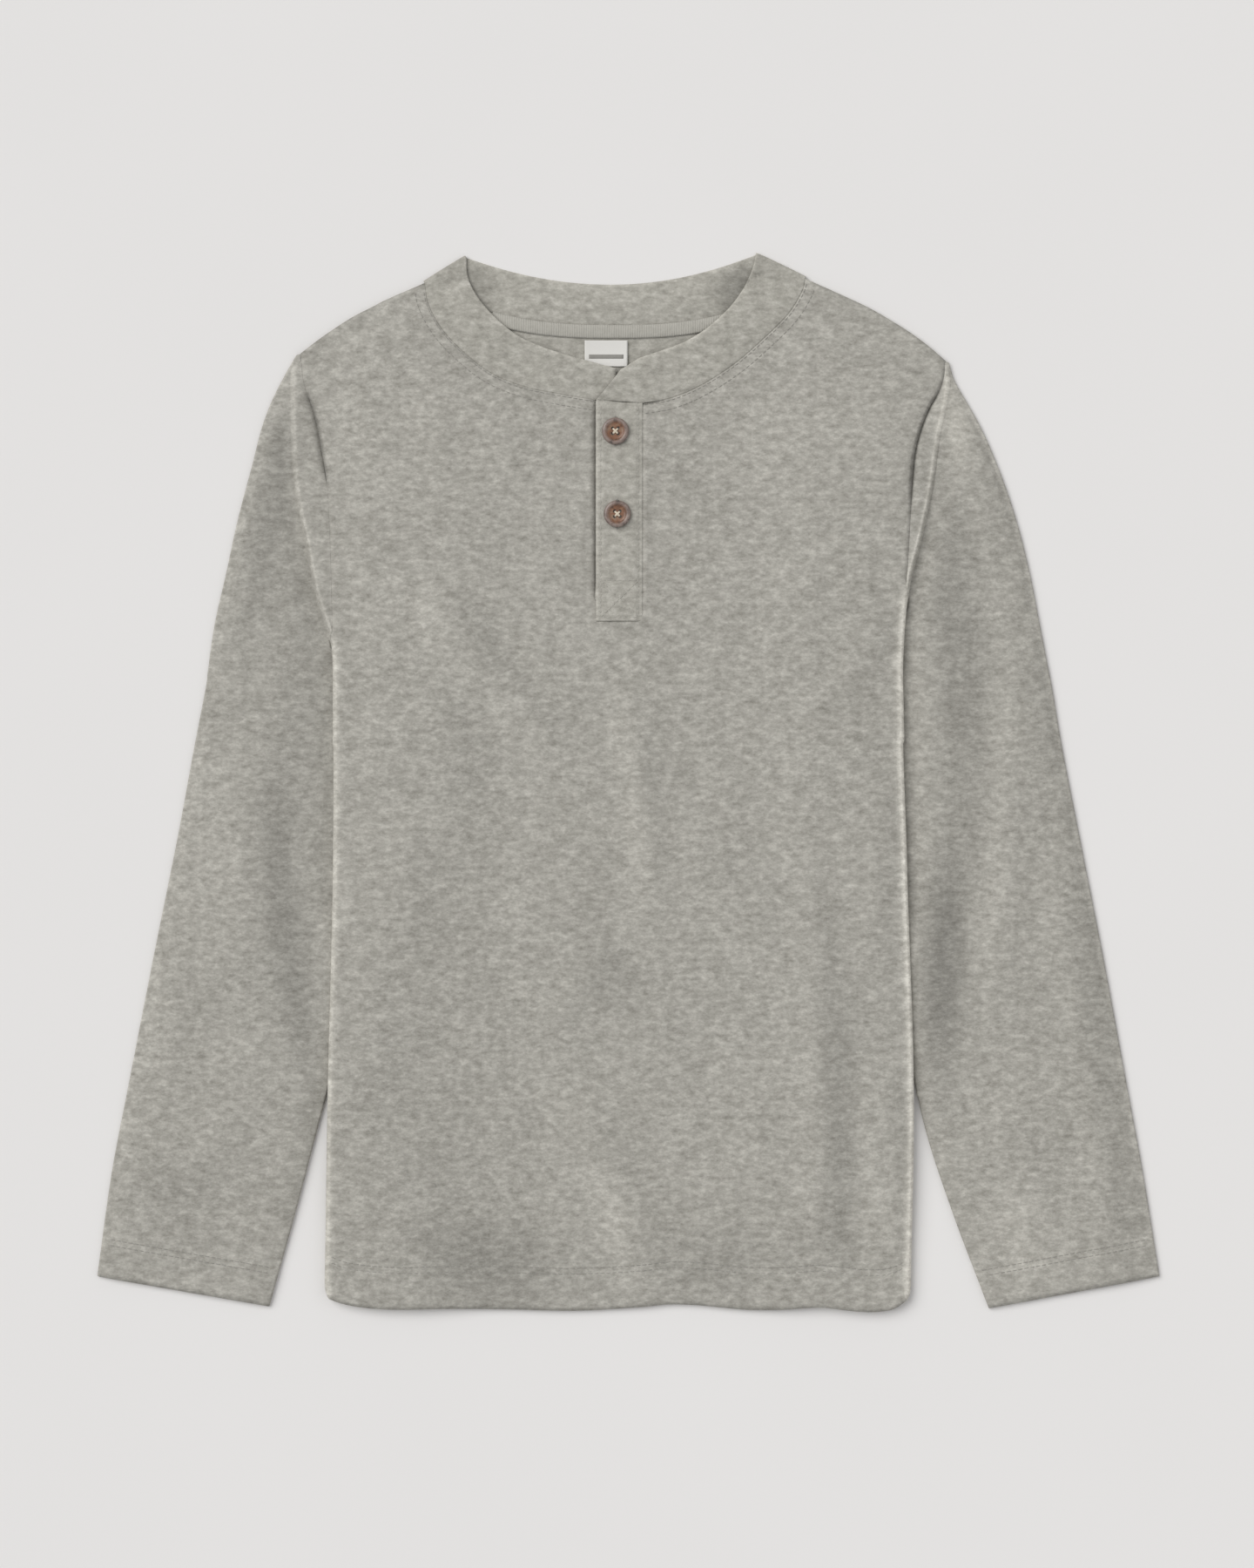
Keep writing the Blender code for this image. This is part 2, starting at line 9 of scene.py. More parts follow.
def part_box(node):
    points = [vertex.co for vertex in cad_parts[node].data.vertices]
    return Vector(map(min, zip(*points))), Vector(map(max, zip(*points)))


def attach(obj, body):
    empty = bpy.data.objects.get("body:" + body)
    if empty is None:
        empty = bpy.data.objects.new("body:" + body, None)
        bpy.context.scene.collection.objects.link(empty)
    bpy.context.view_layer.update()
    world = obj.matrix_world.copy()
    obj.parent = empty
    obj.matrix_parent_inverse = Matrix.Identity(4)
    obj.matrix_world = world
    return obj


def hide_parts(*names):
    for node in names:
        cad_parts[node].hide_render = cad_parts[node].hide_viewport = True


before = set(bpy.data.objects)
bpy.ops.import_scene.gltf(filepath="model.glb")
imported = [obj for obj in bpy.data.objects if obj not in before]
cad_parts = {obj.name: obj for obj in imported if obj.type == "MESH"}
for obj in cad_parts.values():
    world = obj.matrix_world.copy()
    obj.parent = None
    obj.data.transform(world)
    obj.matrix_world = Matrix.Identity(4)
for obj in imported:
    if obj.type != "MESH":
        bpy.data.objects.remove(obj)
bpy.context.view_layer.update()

SCENE = bpy.context.scene
MM = 0.001
GOLDEN = 2.399963       # golden angle, in radians

# ---- sizes, in millimetres
WALL = 1.0              # thickness of the knit
PITCH = 1.4             # height from one laid layer to the next
HALF = WALL / 2
SEAM_GAP = 0.3
SEAM_LINE = 0.07        # gap that shows at a sewn seam
FOLD_HIGHLIGHT = {-1: 0.36, 1: 0.80}   # painted highlight: how much paler the colour is just inside a left or right fold
FLAP = 46.0             # how far each side is folded under
RAMP = 42.0             # over which a layer comes down beside what lifts it
SLEEVE_ROOM = 6.0
FULLNESS = 2.0          # air between front and back in the middle
FULL_RAMP = 26.0
TIP_Y = 220.0           # shoulder tip
UNDERARM_Y = 66.0       # where the armhole seam turns under the body
TURN = PITCH * 1.5 + HALF
HEM_DEPTH = 22.0        # turned-up hem of the body
CUFF_DEPTH = 20.0       # turned-up hem of a sleeve
ROW_GAP = 3.0           # between two rows of stitching
SLIT_ROW = 0.22         # share of the panel's length at the slit's end
OPEN_ROW = 0.236        # last share at which the armhole lies on top
FOLD_ROW = 0.325        # first share at which the side is folded under

# Edges of the body: y, left x, right x. Armhole seam down to the underarm, side fold below.
BODY_EDGE = np.array((
    (220, -169.5, 164.5), (207, -168, 162.5), (192, -162.7, 154.6), (174, -159, 148.7),
    (156, -156, 146.5), (134, -154.6, 145.6), (100, -153.3, 143.6), (66, -152.8, 142),
    (-46, -152.8, 144.2), (-163, -155.5, 147.6), (-262, -157, 146.2),
))

# Fold of the sleeve cap beside the armhole, running on into the side fold: y, left x, right x.
CAP_FOLD = np.array((
    (214, -175, 167.5), (200, -175, 166), (178, -174.6, 161.3), (152, -172.6, 157.5),
    (125, -167.2, 151.6), (98, -161.8, 144.9), (85, -157.8, 143.4), (73, -153.9, 142.6),
    (66, -153.1, 142.2), (60, -152.9, 142), (40, -152.8, 142.3), (20, -152.8, 142.7),
))
# Where the armhole seam starts round the side fold, and where it is under: left, right.
CLOSE_Y = {-1: (78.5, 66.0), 1: (103.6, 83.0)}

# Outer edge of the caps: y, left x, right x.
CAP_OUTER = np.array((
    (222, -170.6, 164.6), (216, -174.8, 165.8), (208, -179.3, 168.8), (196, -185.2, 175.6),
    (188, -188.3, 180.2), (163, -195.1, 191.5), (134, -202.7, 201.4), (109, -208.1, 207.7),
    (83, -214, 212.8), (48, -219, 219.6),
))

# Sleeves below the cap: outer x, outer y, inner x, inner y.
SLEEVES = {
    -1: np.array((
        (-219, 48, -101, 44), (-225, 17, -113, -1), (-233.3, -28, -126.7, -51),
        (-246, -91, -143.8, -114), (-258.3, -154, -160, -174), (-267.5, -202, -172.1, -220),
        (-275, -255.5, -186.3, -271),
    )),
    1: np.array((
        (219.6, 48, 102.8, 44), (224.8, 17, 114, -1), (233.6, -28, 127.6, -51),
        (246, -91, 140.6, -114), (257.6, -154, 152.8, -174), (266.4, -202, 167.4, -220),
        (275, -255.5, 187, -272),
    )),
}

# Neck, from the placket out to the shoulder: seam x, seam y, band edge x, band edge y,
# and the x that the panel's column settles to below the chest.
NECK_LEFT = np.array((
    (-17.3, 197.8, -19.5, 217.3, -17.3), (-36, 200.8, -34, 221.4, -30),
    (-54, 204.6, -46.5, 225.8, -43), (-70, 211, -58, 231.2, -56), (-84, 221.3, -69, 240.2, -69),
    (-96.5, 234.5, -78, 250.6, -81), (-103.5, 247.5, -83.2, 261.4, -90),
    (-105.5, 258.3, -84, 271.6, -98),
))
NECK_RIGHT = np.array((
    (7.4, 196, 5.5, 219, 7.4), (22, 198.6, 17.5, 223.2, 20), (38, 205.4, 29.5, 227.8, 34),
    (55, 216.4, 41.5, 235.2, 48), (70, 229.4, 53, 246, 61), (82.6, 242, 60.6, 257, 73),
    (90, 254, 64.8, 267, 82), (91.6, 260.6, 65.9, 273, 90),
))
BAND_END_UNDER = (-6.0, 197.2, -6.5, 214.0)
BAND_END_OVER = (-16.4, 197.8, -4.3, 212.6)
BACK_SEAM_Y = 235.8
BACK_EDGE_Y = 257.4
COLUMN_SETTLE = 140.0
SIDE_STEPS = (0.0, 9.0, 18.0, 27.0, 36.0, FLAP)
FOLD_COLUMNS = 11       # columns round a side fold, and as many across its flap

# Lower edge of the body: x, y.
HEM = np.array((
    (-157, -259), (-155.6, -264.6), (-152, -267.6), (-146, -269.8), (-136, -271.4),
    (-122, -272.3), (-100, -272), (-66, -272.4), (-20, -273), (6, -271.4),
    (24, -269.8), (36, -270.3), (62, -272.7), (82, -272.4), (98, -271.2),
    (112, -272.6), (125, -273.6), (136, -272.4), (142, -269.4), (145, -264.6), (146.2, -259),
))

# Shoulder line: x, y.
SHOULDER = np.array((
    (-169.5, 222), (-161, 228.6), (-153.7, 233.8), (-142, 241.2), (-122.2, 251.2),
    (-105.5, 258.3), (-84, 271.6), (65.9, 273), (91.6, 260.6), (105.1, 254.8),
    (125.3, 245.2), (143.3, 234.6), (154, 226.8), (164.5, 218),
))

SLIT_BOTTOM = 94.0
PLACKET_BOTTOM = 83.3
BOX_TOP = 104.4         # top of the crossed box at the placket's foot
PLACKET_X = (-16.6, 7.4)
TAPE_WIDTH = 6.8
TAPE_SPAN = (-70.0, 55.0)
LABEL_X = (-22.6, -0.4)
LABEL_Y = (215.2, 228.6)
BAR_Y = (221.4, 219.3)
HOLE_REACH = 1.4        # from a button's middle to its sewing holes, along x and y
HOLE_RADIUS = 0.85
BUTTON_CENTRES = {"button_upper": (-6.7, 181.4), "button_lower": (-5.7, 138.6)}

# Stitching: spacing, length of a thread and height of its arch.
HEM_STITCH = (3.1, 2.3, 0.16)
NECK_STITCH = (2.9, 2.1, 0.16)
PLACKET_STITCH = (2.7, 2.0, 0.18)
STITCH_INSET = 2.2      # from the placket's edge to its topstitch
THREAD = 0.17           # radius of the seam thread
BUTTONHOLE_BARS = 72    # stitches round it
BUTTONHOLE_SIZE = (1.15, 7.7)   # half its width and half its length
THREAD_END = 0.55       # share of a thread's radius at its ends

# Creases: start, middle and end (x, y each), height (a trough's is negative), half width.
FRONT_CREASES = (
    (-112, 104, -74, 60, -28, 6, 3.8, 12), (-142, 92, -112, 56, -78, 0, 2, 11),
    (-60, 84, -44, 52, -22, 26, 1.2, 8), (-2, 60, 6, -4, 16, -84, 2.9, 9),
    (30, 34, 56, -24, 78, -92, 2.5, 9), (88, -30, 103, -160, 84, -275, 3.8, 12),
    (132, -130, 132, -200, 132, -280, 2.3, 12), (137, 92, 120, 66, 92, 22, 1.3, 9),
    (-14, -76, -22, -100, -46, -130, 1.6, 9), (2, -80, 14, -104, 30, -140, 1.4, 9),
    (-34, -150, -8, -206, 12, -284, 3.9, 13), (-136, -180, -116, -226, -104, -284, 3.1, 17),
    (-90, -120, -70, -150, -52, -190, 2, 13), (60, -170, 74, -214, 78, -284, 2.1, 12),
    (-104, 205, -98, 182, -90, 150, 1.2, 8), (-136, 214, -132, 190, -126, 160, 1.2, 8),
    (-70, 190, -64, 168, -60, 140, 0.9, 7), (72, 205, 80, 184, 84, 156, 0.9, 9),
    (128, 10, 130, -40, 124, -100, 1.6, 9), (-120, -10, -116, -50, -120, -100, 1.3, 12),
)
BACK_CREASES = (
    (-90, 120, -40, 60, 0, -20, 1.1, 14), (70, 100, 60, 10, 20, -80, 1, 12),
    (-60, -90, -30, -170, -40, -280, 1.2, 14), (50, -120, 60, -190, 40, -280, 1.1, 12),
)
SLEEVE_CREASES = {
    -1: (
        (-194, 170, -199, 120, -206, 60, 1.9, 9), (-208, 20, -200, -50, -200, -120, 3, 16),
        (-200, -120, -208, -170, -226, -215, 1.8, 14), (-240, -60, -238, -120, -250, -190, 1.2, 10),
        (-216, 110, -220, 70, -222, 20, 0.8, 7), (-256, -196, -236, -206, -214, -205, 0.8, 7),
        (-206, -226, -226, -236, -262, -238, 0.8, 7),
    ),
    1: (
        (176, 188, 184, 160, 190, 110, 1.5, 8), (200, 60, 194, -40, 186, -150, 3.4, 12),
        (222, -20, 228, -90, 238, -150, 1.4, 11), (190, -150, 204, -200, 212, -262, 2.2, 13),
        (238, -190, 246, -222, 252, -262, 1.2, 9), (206, 130, 212, 90, 214, 40, 0.9, 8),
    ),
}

# Painted light and shade in soft patches: middle x, y, half sizes, turn in degrees, change of tone.
FRONT_LIGHT_AND_SHADE = (
    (-70, -248, 36, 24, -8, -0.20), (48, -244, 34, 24, 6, -0.12), (-8, -96, 18, 26, 30, -0.10),
    (106, -160, 9, 96, 4, -0.13), (-110, -170, 40, 60, 10, -0.06), (132, -235, 12, 40, 0, 0.08),
    (-8, -220, 12, 44, 18, 0.11), (-78, 50, 9, 56, 40, 0.06), (-56, 55, 7, 44, 37, -0.07),
    (3, -12, 8, 60, 8, 0.07), (47, -28, 9, 58, 28, -0.07), (-80, 90, 80, 120, 0, 0.02),
    (90, 190, 60, 40, 0, 0.05), (-120, 190, 30, 40, 0, 0.04),
)
SLEEVE_LIGHT_AND_SHADE = {
    -1: (
        (-175, -88, 10, 74, 7, -0.20), (-176, 206, 6, 16, 0, 0.14), (-186, 140, 12, 66, -10, -0.17),
        (-174, 20, 12, 90, -4, -0.10), (-240, -215, 26, 26, 0, -0.08), (-212, -60, 9, 60, -10, 0.05),
    ),
    1: (
        (163, -92, 11, 62, -3, -0.34), (171, 66, 14, 112, 6, -0.18), (220, 20, 8, 90, 13, -0.08),
        (246, -150, 8, 80, 9, -0.12), (190, -46, 7, 80, 0, 0.09), (206, -238, 22, 26, 0, 0.12),
        (168, 188, 7, 26, 14, 0.20),
    ),
}
# Painted shade at both shoulder ends of the back band.
BAND_SHADE = (
    (-82, 254, 13, 14, -20, -0.22), (60, 255, 14, 14, 20, -0.36),
)

# From the shirt's own millimetres to the frame: the upper button's middle has to meet.
SHIFT = np.mean(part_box("button_upper"), axis=0) / MM - (*BUTTON_CENTRES["button_upper"], 0.0)
SHIFT[2] = 0.0


# ---- curves and fields
def smooth(s):
    """Ease from 0 to 1 over the unit interval, level at both ends: 3 s^2 - 2 s^3."""
    s = np.clip(s, 0.0, 1.0)
    return s * s * (3 - 2 * s)


def bell(distance, width):
    """A bell of height 1 that falls off as exp(-(d/w)^2)."""
    return np.exp(-(distance / width) ** 2)


def flow(t, knots, values):
    """Smooth curve through values at rising knots, held level past its ends.

    Each stretch is a cubic whose end slopes are the weighted mean of the two chords there.
    """
    t, knots, values = np.asarray(t, float), np.asarray(knots, float), np.asarray(values, float)
    extra = (1,) * (values.ndim - 1)
    span = np.diff(knots).reshape(-1, *extra)
    chord = np.diff(values, axis=0) / span
    slope = np.concatenate((chord[:1], (chord[:-1] * span[1:] + chord[1:] * span[:-1])
                            / (span[:-1] + span[1:]), chord[-1:]))
    i = np.clip(np.searchsorted(knots, t) - 1, 0, len(knots) - 2)
    s = np.clip((t - knots[i]) / np.diff(knots)[i], 0, 1).reshape(t.shape + extra)
    a, b, width = values[i], values[i + 1], span[i]
    return (a * (1 + 2 * s) * (1 - s) ** 2 + b * s * s * (3 - 2 * s)
            + width * (slope[i] * s * (1 - s) ** 2 - slope[i + 1] * s * s * (1 - s)))


def by_height(table, y, side):
    """A table's left or right column at height y, its rows running down."""
    return flow(-np.asarray(y, float), -table[:, 0], table[:, 1 if side < 0 else 2])


def edge_x(y, side):
    """Armhole or side fold at height y; side is -1 at the left and 1 at the right."""
    return by_height(BODY_EDGE, y, side)


def fold_x(y, side):
    """Outermost line of the raised layers: the fold of the cap, then the side fold."""
    return np.where(y > 20.0, by_height(CAP_FOLD, y, side), edge_x(y, side))


def sleeve_inner_x(y, side):
    """Inner edge of the sleeve that lies under the body."""
    table = SLEEVES[side]
    return flow(-np.asarray(y, float), -table[:, 3], table[:, 2])


def pinch(y, side):
    """Where the armhole seam is drawn into a deep narrow valley, below the shoulder."""
    low, high = (146.0, 208.0) if side < 0 else (134.0, 210.0)
    return smooth((y - low) / 22.0) * smooth((high - y) / 14.0)


def shoulder_y(x):
    """Shoulder line: bowed up a little from each tip to the neck, level across it."""
    return np.interp(x, SHOULDER[:, 0], SHOULDER[:, 1])


def hem_y(x):
    """Lower edge of the body, waved."""
    return flow(x, HEM[:, 0], HEM[:, 1])


def front_neck_y(x):
    """Front neck seam."""
    rows = np.concatenate((NECK_LEFT[::-1], NECK_RIGHT))
    return flow(x, rows[:, 0], rows[:, 1])


def back_neck_y(x):
    """Back neck seam: flat in the middle and rising to the shoulders as s to the 2.6."""
    left, right = NECK_LEFT[-1], NECK_RIGHT[-1]
    middle, reach = (left[0] + right[0]) / 2, (right[0] - left[0]) / 2
    s = np.abs((x - middle) / reach)
    ends = np.where(x < middle, left[1], right[1])
    return BACK_SEAM_Y + (ends - BACK_SEAM_Y) * s ** 2.6


def taper(y):
    """How far the folds beside the body have opened, from the shoulder tip to the underarm."""
    return smooth((TIP_Y - y) / (TIP_Y - UNDERARM_Y))


def lifted(x, y, edge, room):
    """Height that two layers at each side give what lies on them, out to a little past an edge."""
    total = 0.0
    for side in (-1, 1):
        total = total + 1 - smooth((side * (edge(y, side) - x) - room) / RAMP)
    return 2 * PITCH * total * taper(y)


def sleeve_lift(x, y):
    """Height that the sleeves beneath give whatever lies on them."""
    return lifted(x, y, sleeve_inner_x, SLEEVE_ROOM)


def flap_lift(x, y):
    """Height that the folded-under sides give the panels above them."""
    return lifted(x, y, edge_x, FLAP + 2)


def crease_height(x, y, table):
    """Sum of soft ridges and troughs.

    Each follows a curve bent through three points. Its height falls off with distance as
    exp(-(d/w)^2), and eases in and out along its length.
    """
    total = np.zeros_like(x)
    steps = np.linspace(0.0, 1.0, 15)
    for x0, y0, x1, y1, x2, y2, height, width in table:
        bend_x, bend_y = 2 * x1 - (x0 + x2) / 2, 2 * y1 - (y0 + y2) / 2
        line_x = (1 - steps) ** 2 * x0 + 2 * steps * (1 - steps) * bend_x + steps ** 2 * x2
        line_y = (1 - steps) ** 2 * y0 + 2 * steps * (1 - steps) * bend_y + steps ** 2 * y2
        best, along = np.full_like(x, 1e9), np.zeros_like(x)
        for k in range(len(steps) - 1):
            dx, dy = line_x[k + 1] - line_x[k], line_y[k + 1] - line_y[k]
            s = np.clip(((x - line_x[k]) * dx + (y - line_y[k]) * dy) / (dx * dx + dy * dy), 0, 1)
            gap = (x - line_x[k] - s * dx) ** 2 + (y - line_y[k] - s * dy) ** 2
            nearer = gap < best
            best = np.where(nearer, gap, best)
            along = np.where(nearer, (k + s) / (len(steps) - 1), along)
        ends = smooth(along / 0.3) * smooth((1 - along) / 0.3)
        total += height * ends * np.exp(-best / width ** 2)
    return total


def unevenness(x, y, height):
    """Gentle waviness: a few plane waves 45 to 130 mm long, each turned by the golden angle."""
    total = np.zeros_like(x)
    for k in range(9):
        turn, length = GOLDEN * k, 45.0 + 10.5 * k
        total += np.sin(2 * math.pi * (x * math.cos(turn) + y * math.sin(turn)) / length + 1.7 * k)
    return height * total / 3.0


def painted_light_and_shade(x, y, table):
    """Painted light and shade in soft turned ovals, exp(-(r^2)^1.3), each a change of tone."""
    total = np.zeros_like(x)
    for middle_x, middle_y, wide, tall, turn, change in table:
        c, s = math.cos(math.radians(turn)), math.sin(math.radians(turn))
        u = ((x - middle_x) * c + (y - middle_y) * s) / wide
        v = ((y - middle_y) * c - (x - middle_x) * s) / tall
        total += change * np.exp(-(u * u + v * v) ** 1.3)
    return total


def back_z(x, y):
    """Middle of the back panel's wall: on what lies beneath, and raised along the neck seam."""
    inside = smooth((x - edge_x(y, -1)) / 60) * smooth((edge_x(y, 1) - x) / 60)
    collar = 1.9 * bell(y - 238.0, 11.0) * smooth((x + 88) / 34) * smooth((76 - x) / 34)
    return (sleeve_lift(x, y) + flap_lift(x, y) + HALF + collar
            + inside * crease_height(x, y, BACK_CREASES))


def air(x, y):
    """Clear height between back and front: fullness, creases and waviness, never under nothing."""
    near_left, near_right = x - edge_x(y, -1), edge_x(y, 1) - x
    sides = smooth(near_left / FULL_RAMP) * smooth(near_right / FULL_RAMP)
    shoulder = smooth((shoulder_y(x) - y) / FULL_RAMP)
    loose = smooth(near_left / 10) * smooth(near_right / 10) * shoulder
    flat_hem = 0.4 + 0.6 * smooth((y - hem_y(x)) / 45)
    high = FULLNESS * sides * shoulder * flat_hem + 0.25 * shoulder
    high = high + loose * flat_hem * (crease_height(x, y, FRONT_CREASES) + unevenness(x, y, 0.28))
    soft = 0.35
    return soft * np.logaddexp(0.0, high / soft)


def front_z(x, y):
    """Middle of the front panel's wall."""
    return back_z(x, y) + PITCH + air(x, y)


# ---- meshes
def new_piece(name, points, faces, material=None):
    """A smooth object at the origin, from points in metres and faces."""
    mesh = bpy.data.meshes.new(name)
    mesh.from_pydata(points.tolist(), [], faces)
    mesh.shade_smooth()
    if material:
        mesh.materials.append(material)
    piece = bpy.data.objects.new(name, mesh)
    SCENE.collection.objects.link(piece)
    return piece


def shell(name, points, wall, material, cells=None, weld=False, nap_and_painted_light=None):
    """A piece of cloth from a grid of middle points in millimetres, thickened by its wall.

    The tone given at each point is painted light and shade on the cloth's face.
    """
    rows, cols = points.shape[:2]
    index = np.arange(rows * cols).reshape(rows, cols)
    quads = np.stack((index[:-1, :-1], index[1:, :-1], index[1:, 1:], index[:-1, 1:]), axis=-1)
    quads = quads.reshape(-1, 4) if cells is None else quads[cells]
    used, place = np.unique(quads, return_inverse=True)
    flat = (points.reshape(-1, 3)[used] + SHIFT) * MM
    piece = new_piece(name, flat, place.reshape(-1, 4).tolist(), material)
    if nap_and_painted_light is not None:
        tone = piece.data.attributes.new("nap_and_painted_light", "FLOAT", "POINT")
        tone.data.foreach_set("value", np.broadcast_to(nap_and_painted_light, (rows, cols)).reshape(-1)[used])
    if weld:
        bm = bmesh.new()
        bm.from_mesh(piece.data)
        bmesh.ops.remove_doubles(bm, verts=bm.verts, dist=0.02 * MM)
        bmesh.ops.dissolve_degenerate(bm, edges=bm.edges, dist=0.002 * MM)
        bm.to_mesh(piece.data)
        bm.free()
    thick = piece.modifiers.new("wall", "SOLIDIFY")
    thick.thickness = wall * MM
    thick.offset = 0.0
    thick.use_even_offset = True
    return piece


def tubes(name, lines, radius, material, sides=6):
    """Many short threads in one mesh: a ring of points carried along each line, ends drawn in.

    lines is an array (threads, points along, 3) in millimetres.
    """
    lines = np.asarray(lines, float)
    count, steps = lines.shape[:2]
    along = np.gradient(lines, axis=1)
    along /= np.linalg.norm(along, axis=2, keepdims=True) + 1e-12
    across = np.cross(along, np.broadcast_to(np.array((0.0, 0.0, 1.0)), along.shape))
    across /= np.linalg.norm(across, axis=2, keepdims=True) + 1e-12
    rise = np.cross(across, along)
    size = np.ones(steps)
    size[[0, -1]] = THREAD_END
    turn = (np.arange(sides) * 2 * math.pi / sides)[None, None, :, None]
    ring = across[:, :, None] * np.cos(turn) + rise[:, :, None] * np.sin(turn)
    verts = lines[:, :, None] + ring * (radius * size)[None, :, None, None]
    index = np.arange(count * steps * sides).reshape(count, steps, sides)
    after = np.roll(index, -1, axis=2)
    quads = np.stack((index[:, :-1], index[:, 1:], after[:, 1:], after[:, :-1]), axis=-1)
    faces = quads.reshape(-1, 4).tolist() + index[:, 0].tolist() + index[:, -1, ::-1].tolist()
    piece = new_piece(name, (verts.reshape(-1, 3) + SHIFT) * MM, faces, material)
    bm = bmesh.new()
    bm.from_mesh(piece.data)
    bmesh.ops.recalc_face_normals(bm, faces=bm.faces)
    bm.to_mesh(piece.data)
    bm.free()
    return piece


def stitch_lines(path, stitch, surface=None, margins=(0.4, None)):
    """Threads of running stitch along a path, each a low arch: (threads, 5, 3).

    They lie on the surface if there is one, or else at the path's own height.
    """
    spacing, length, above = stitch
    reach = np.concatenate(([0.0], np.cumsum(np.hypot(*np.diff(path[:, :2], axis=0).T))))
    starts = np.arange(margins[0], reach[-1] - (margins[1] or length), spacing)
    s = starts[:, None] + np.linspace(0, length, 5)[None, :]
    px, py = np.interp(s, reach, path[:, 0]), np.interp(s, reach, path[:, 1])
    pz = surface(px, py) if surface else np.interp(s, reach, path[:, 2])
    arch = np.sin(np.linspace(0.12, 0.88, 5) * math.pi)[None, :]
    return np.stack((px, py, pz + above * arch), axis=-1)


def srgb(code):
    """Linear colour of an sRGB hex value."""
    parts = np.array([int(code[i:i + 2], 16) / 255 for i in (0, 2, 4)])
    linear = np.where(parts <= 0.04045, parts / 12.92, ((parts + 0.055) / 1.055) ** 2.4)
    return (*linear.tolist(), 1.0)


def add(tree, kind, settings=(), links=(), stops=()):
    """One node: settings by attribute or input, links from (node, output), colour stops if any."""
    node = tree.nodes.new(kind)
    for key, value in dict(settings).items():
        if isinstance(key, str) and hasattr(node, key):
            setattr(node, key, value)
        else:
            node.inputs[key].default_value = value
    for key, (source, output) in dict(links).items():
        tree.links.new(source.outputs[output], node.inputs[key])
    for place, (position, code) in enumerate(stops):
        elements = node.color_ramp.elements
        stop = elements[place] if place < len(elements) else elements.new(position)
        stop.position = position
        stop.color = srgb(code)
    return node


def grain(size):
    """Scale of a noise whose patches are this many millimetres across."""
    return 1.0 / (size * MM)


def ribs(spacing):
    """Scale of a wave whose bands lie this many millimetres apart."""
    return math.pi / 10 / (spacing * MM)


def blank(name):
    """A new material's tree, its Principled shader and its object coordinates."""
    material = bpy.data.materials.new(name)
    material.use_nodes = True
    tree = material.node_tree
    return material, tree, tree.nodes["Principled BSDF"], add(tree, "ShaderNodeTexCoord")


def dress(tree, shader, tone, bump, sockets):
    """Join colour and relief to the shader, and set its uniform sockets."""
    tree.links.new(tone.outputs["Color"], shader.inputs["Base Color"])
    if bump:
        tree.links.new(bump.outputs["Normal"], shader.inputs["Normal"])
    for socket, value in sockets.items():
        shader.inputs[socket].default_value = value


def knit_material(name, dark, middle, light):
    """Heathered cotton and polyester jersey, brushed on its face.

    Dark and undyed fibres are spun together, so short streaks of both run along the courses
    of the knit. Brushing raises a matt nap, given by a fine bump. Painted light and shade come
    from a tone attribute on the mesh: highlights along folds and edges, shade in seam valleys,
    and lighter and darker patches.
    """
    material, tree, shader, place = blank(name)
    spot = {"Vector": (place, "Object")}
    layers = []
    for streak, across, detail in ((6.06, 3.51, 1.0), (2.5, 1.56, 2.0), (1.05, 0.67, 2.0)):
        scale = (grain(streak), grain(across), grain(streak))
        drawn = add(tree, "ShaderNodeMapping", {"Scale": scale}, spot)
        layers.append(add(tree, "ShaderNodeTexNoise", {"Scale": 1.0, "Detail": detail, "Roughness": 0.6},
                          {"Vector": (drawn, "Vector")}))
    broad, middling, thin = layers
    cloud = add(tree, "ShaderNodeTexNoise", {"Scale": grain(23.8), "Detail": 2.0, "Roughness": 0.6}, spot)
    sums = []
    for layer, share in ((thin, 0.35), (middling, 0.60), (broad, 0.66), (cloud, 0.16)):
        under = {2: (sums[-1], "Value")} if sums else {}
        sums.append(add(tree, "ShaderNodeMath", {"operation": "MULTIPLY_ADD", 1: share, 2: 0.0},
                        {0: (layer, "Fac"), **under}))
    level = add(tree, "ShaderNodeMapRange", {"From Min": 0.54, "From Max": 1.23},
                {"Value": (sums[3], "Value")})
    tone = add(tree, "ShaderNodeValToRGB", (), {"Fac": (level, "Result")},
               ((0.0, dark), (0.5, middle), (1.0, light)))
    nap_and_painted_light = add(tree, "ShaderNodeTexNoise", {"Scale": grain(1.1), "Detail": 4.0, "Roughness": 0.7}, spot)
    height = add(tree, "ShaderNodeMath", {"operation": "MULTIPLY_ADD", 1: 0.6},
                 {0: (nap_and_painted_light, "Fac"), 2: (sums[1], "Value")})
    bump = add(tree, "ShaderNodeBump", {"Strength": 0.5, "Distance": 0.0006}, {"Height": (height, "Value")})
    # Painted light and shade: the mesh's tone attribute raises or lowers the colour's value.
    painted_light_input = add(tree, "ShaderNodeAttribute", {"attribute_name": "nap_and_painted_light"})
    value = add(tree, "ShaderNodeMath", {"operation": "ADD", 1: 1.0}, {0: (painted_light_input, "Fac")})
    painted_tone = add(tree, "ShaderNodeHueSaturation", (), {"Color": (tone, "Color"), "Value": (value, "Value")})
    dress(tree, shader, painted_tone, bump, {"Roughness": 0.95, "Specular IOR Level": 0.15, "Sheen Weight": 0.8,
                                       "Sheen Roughness": 0.3, "Sheen Tint": srgb("EDEAE2")})
    return material


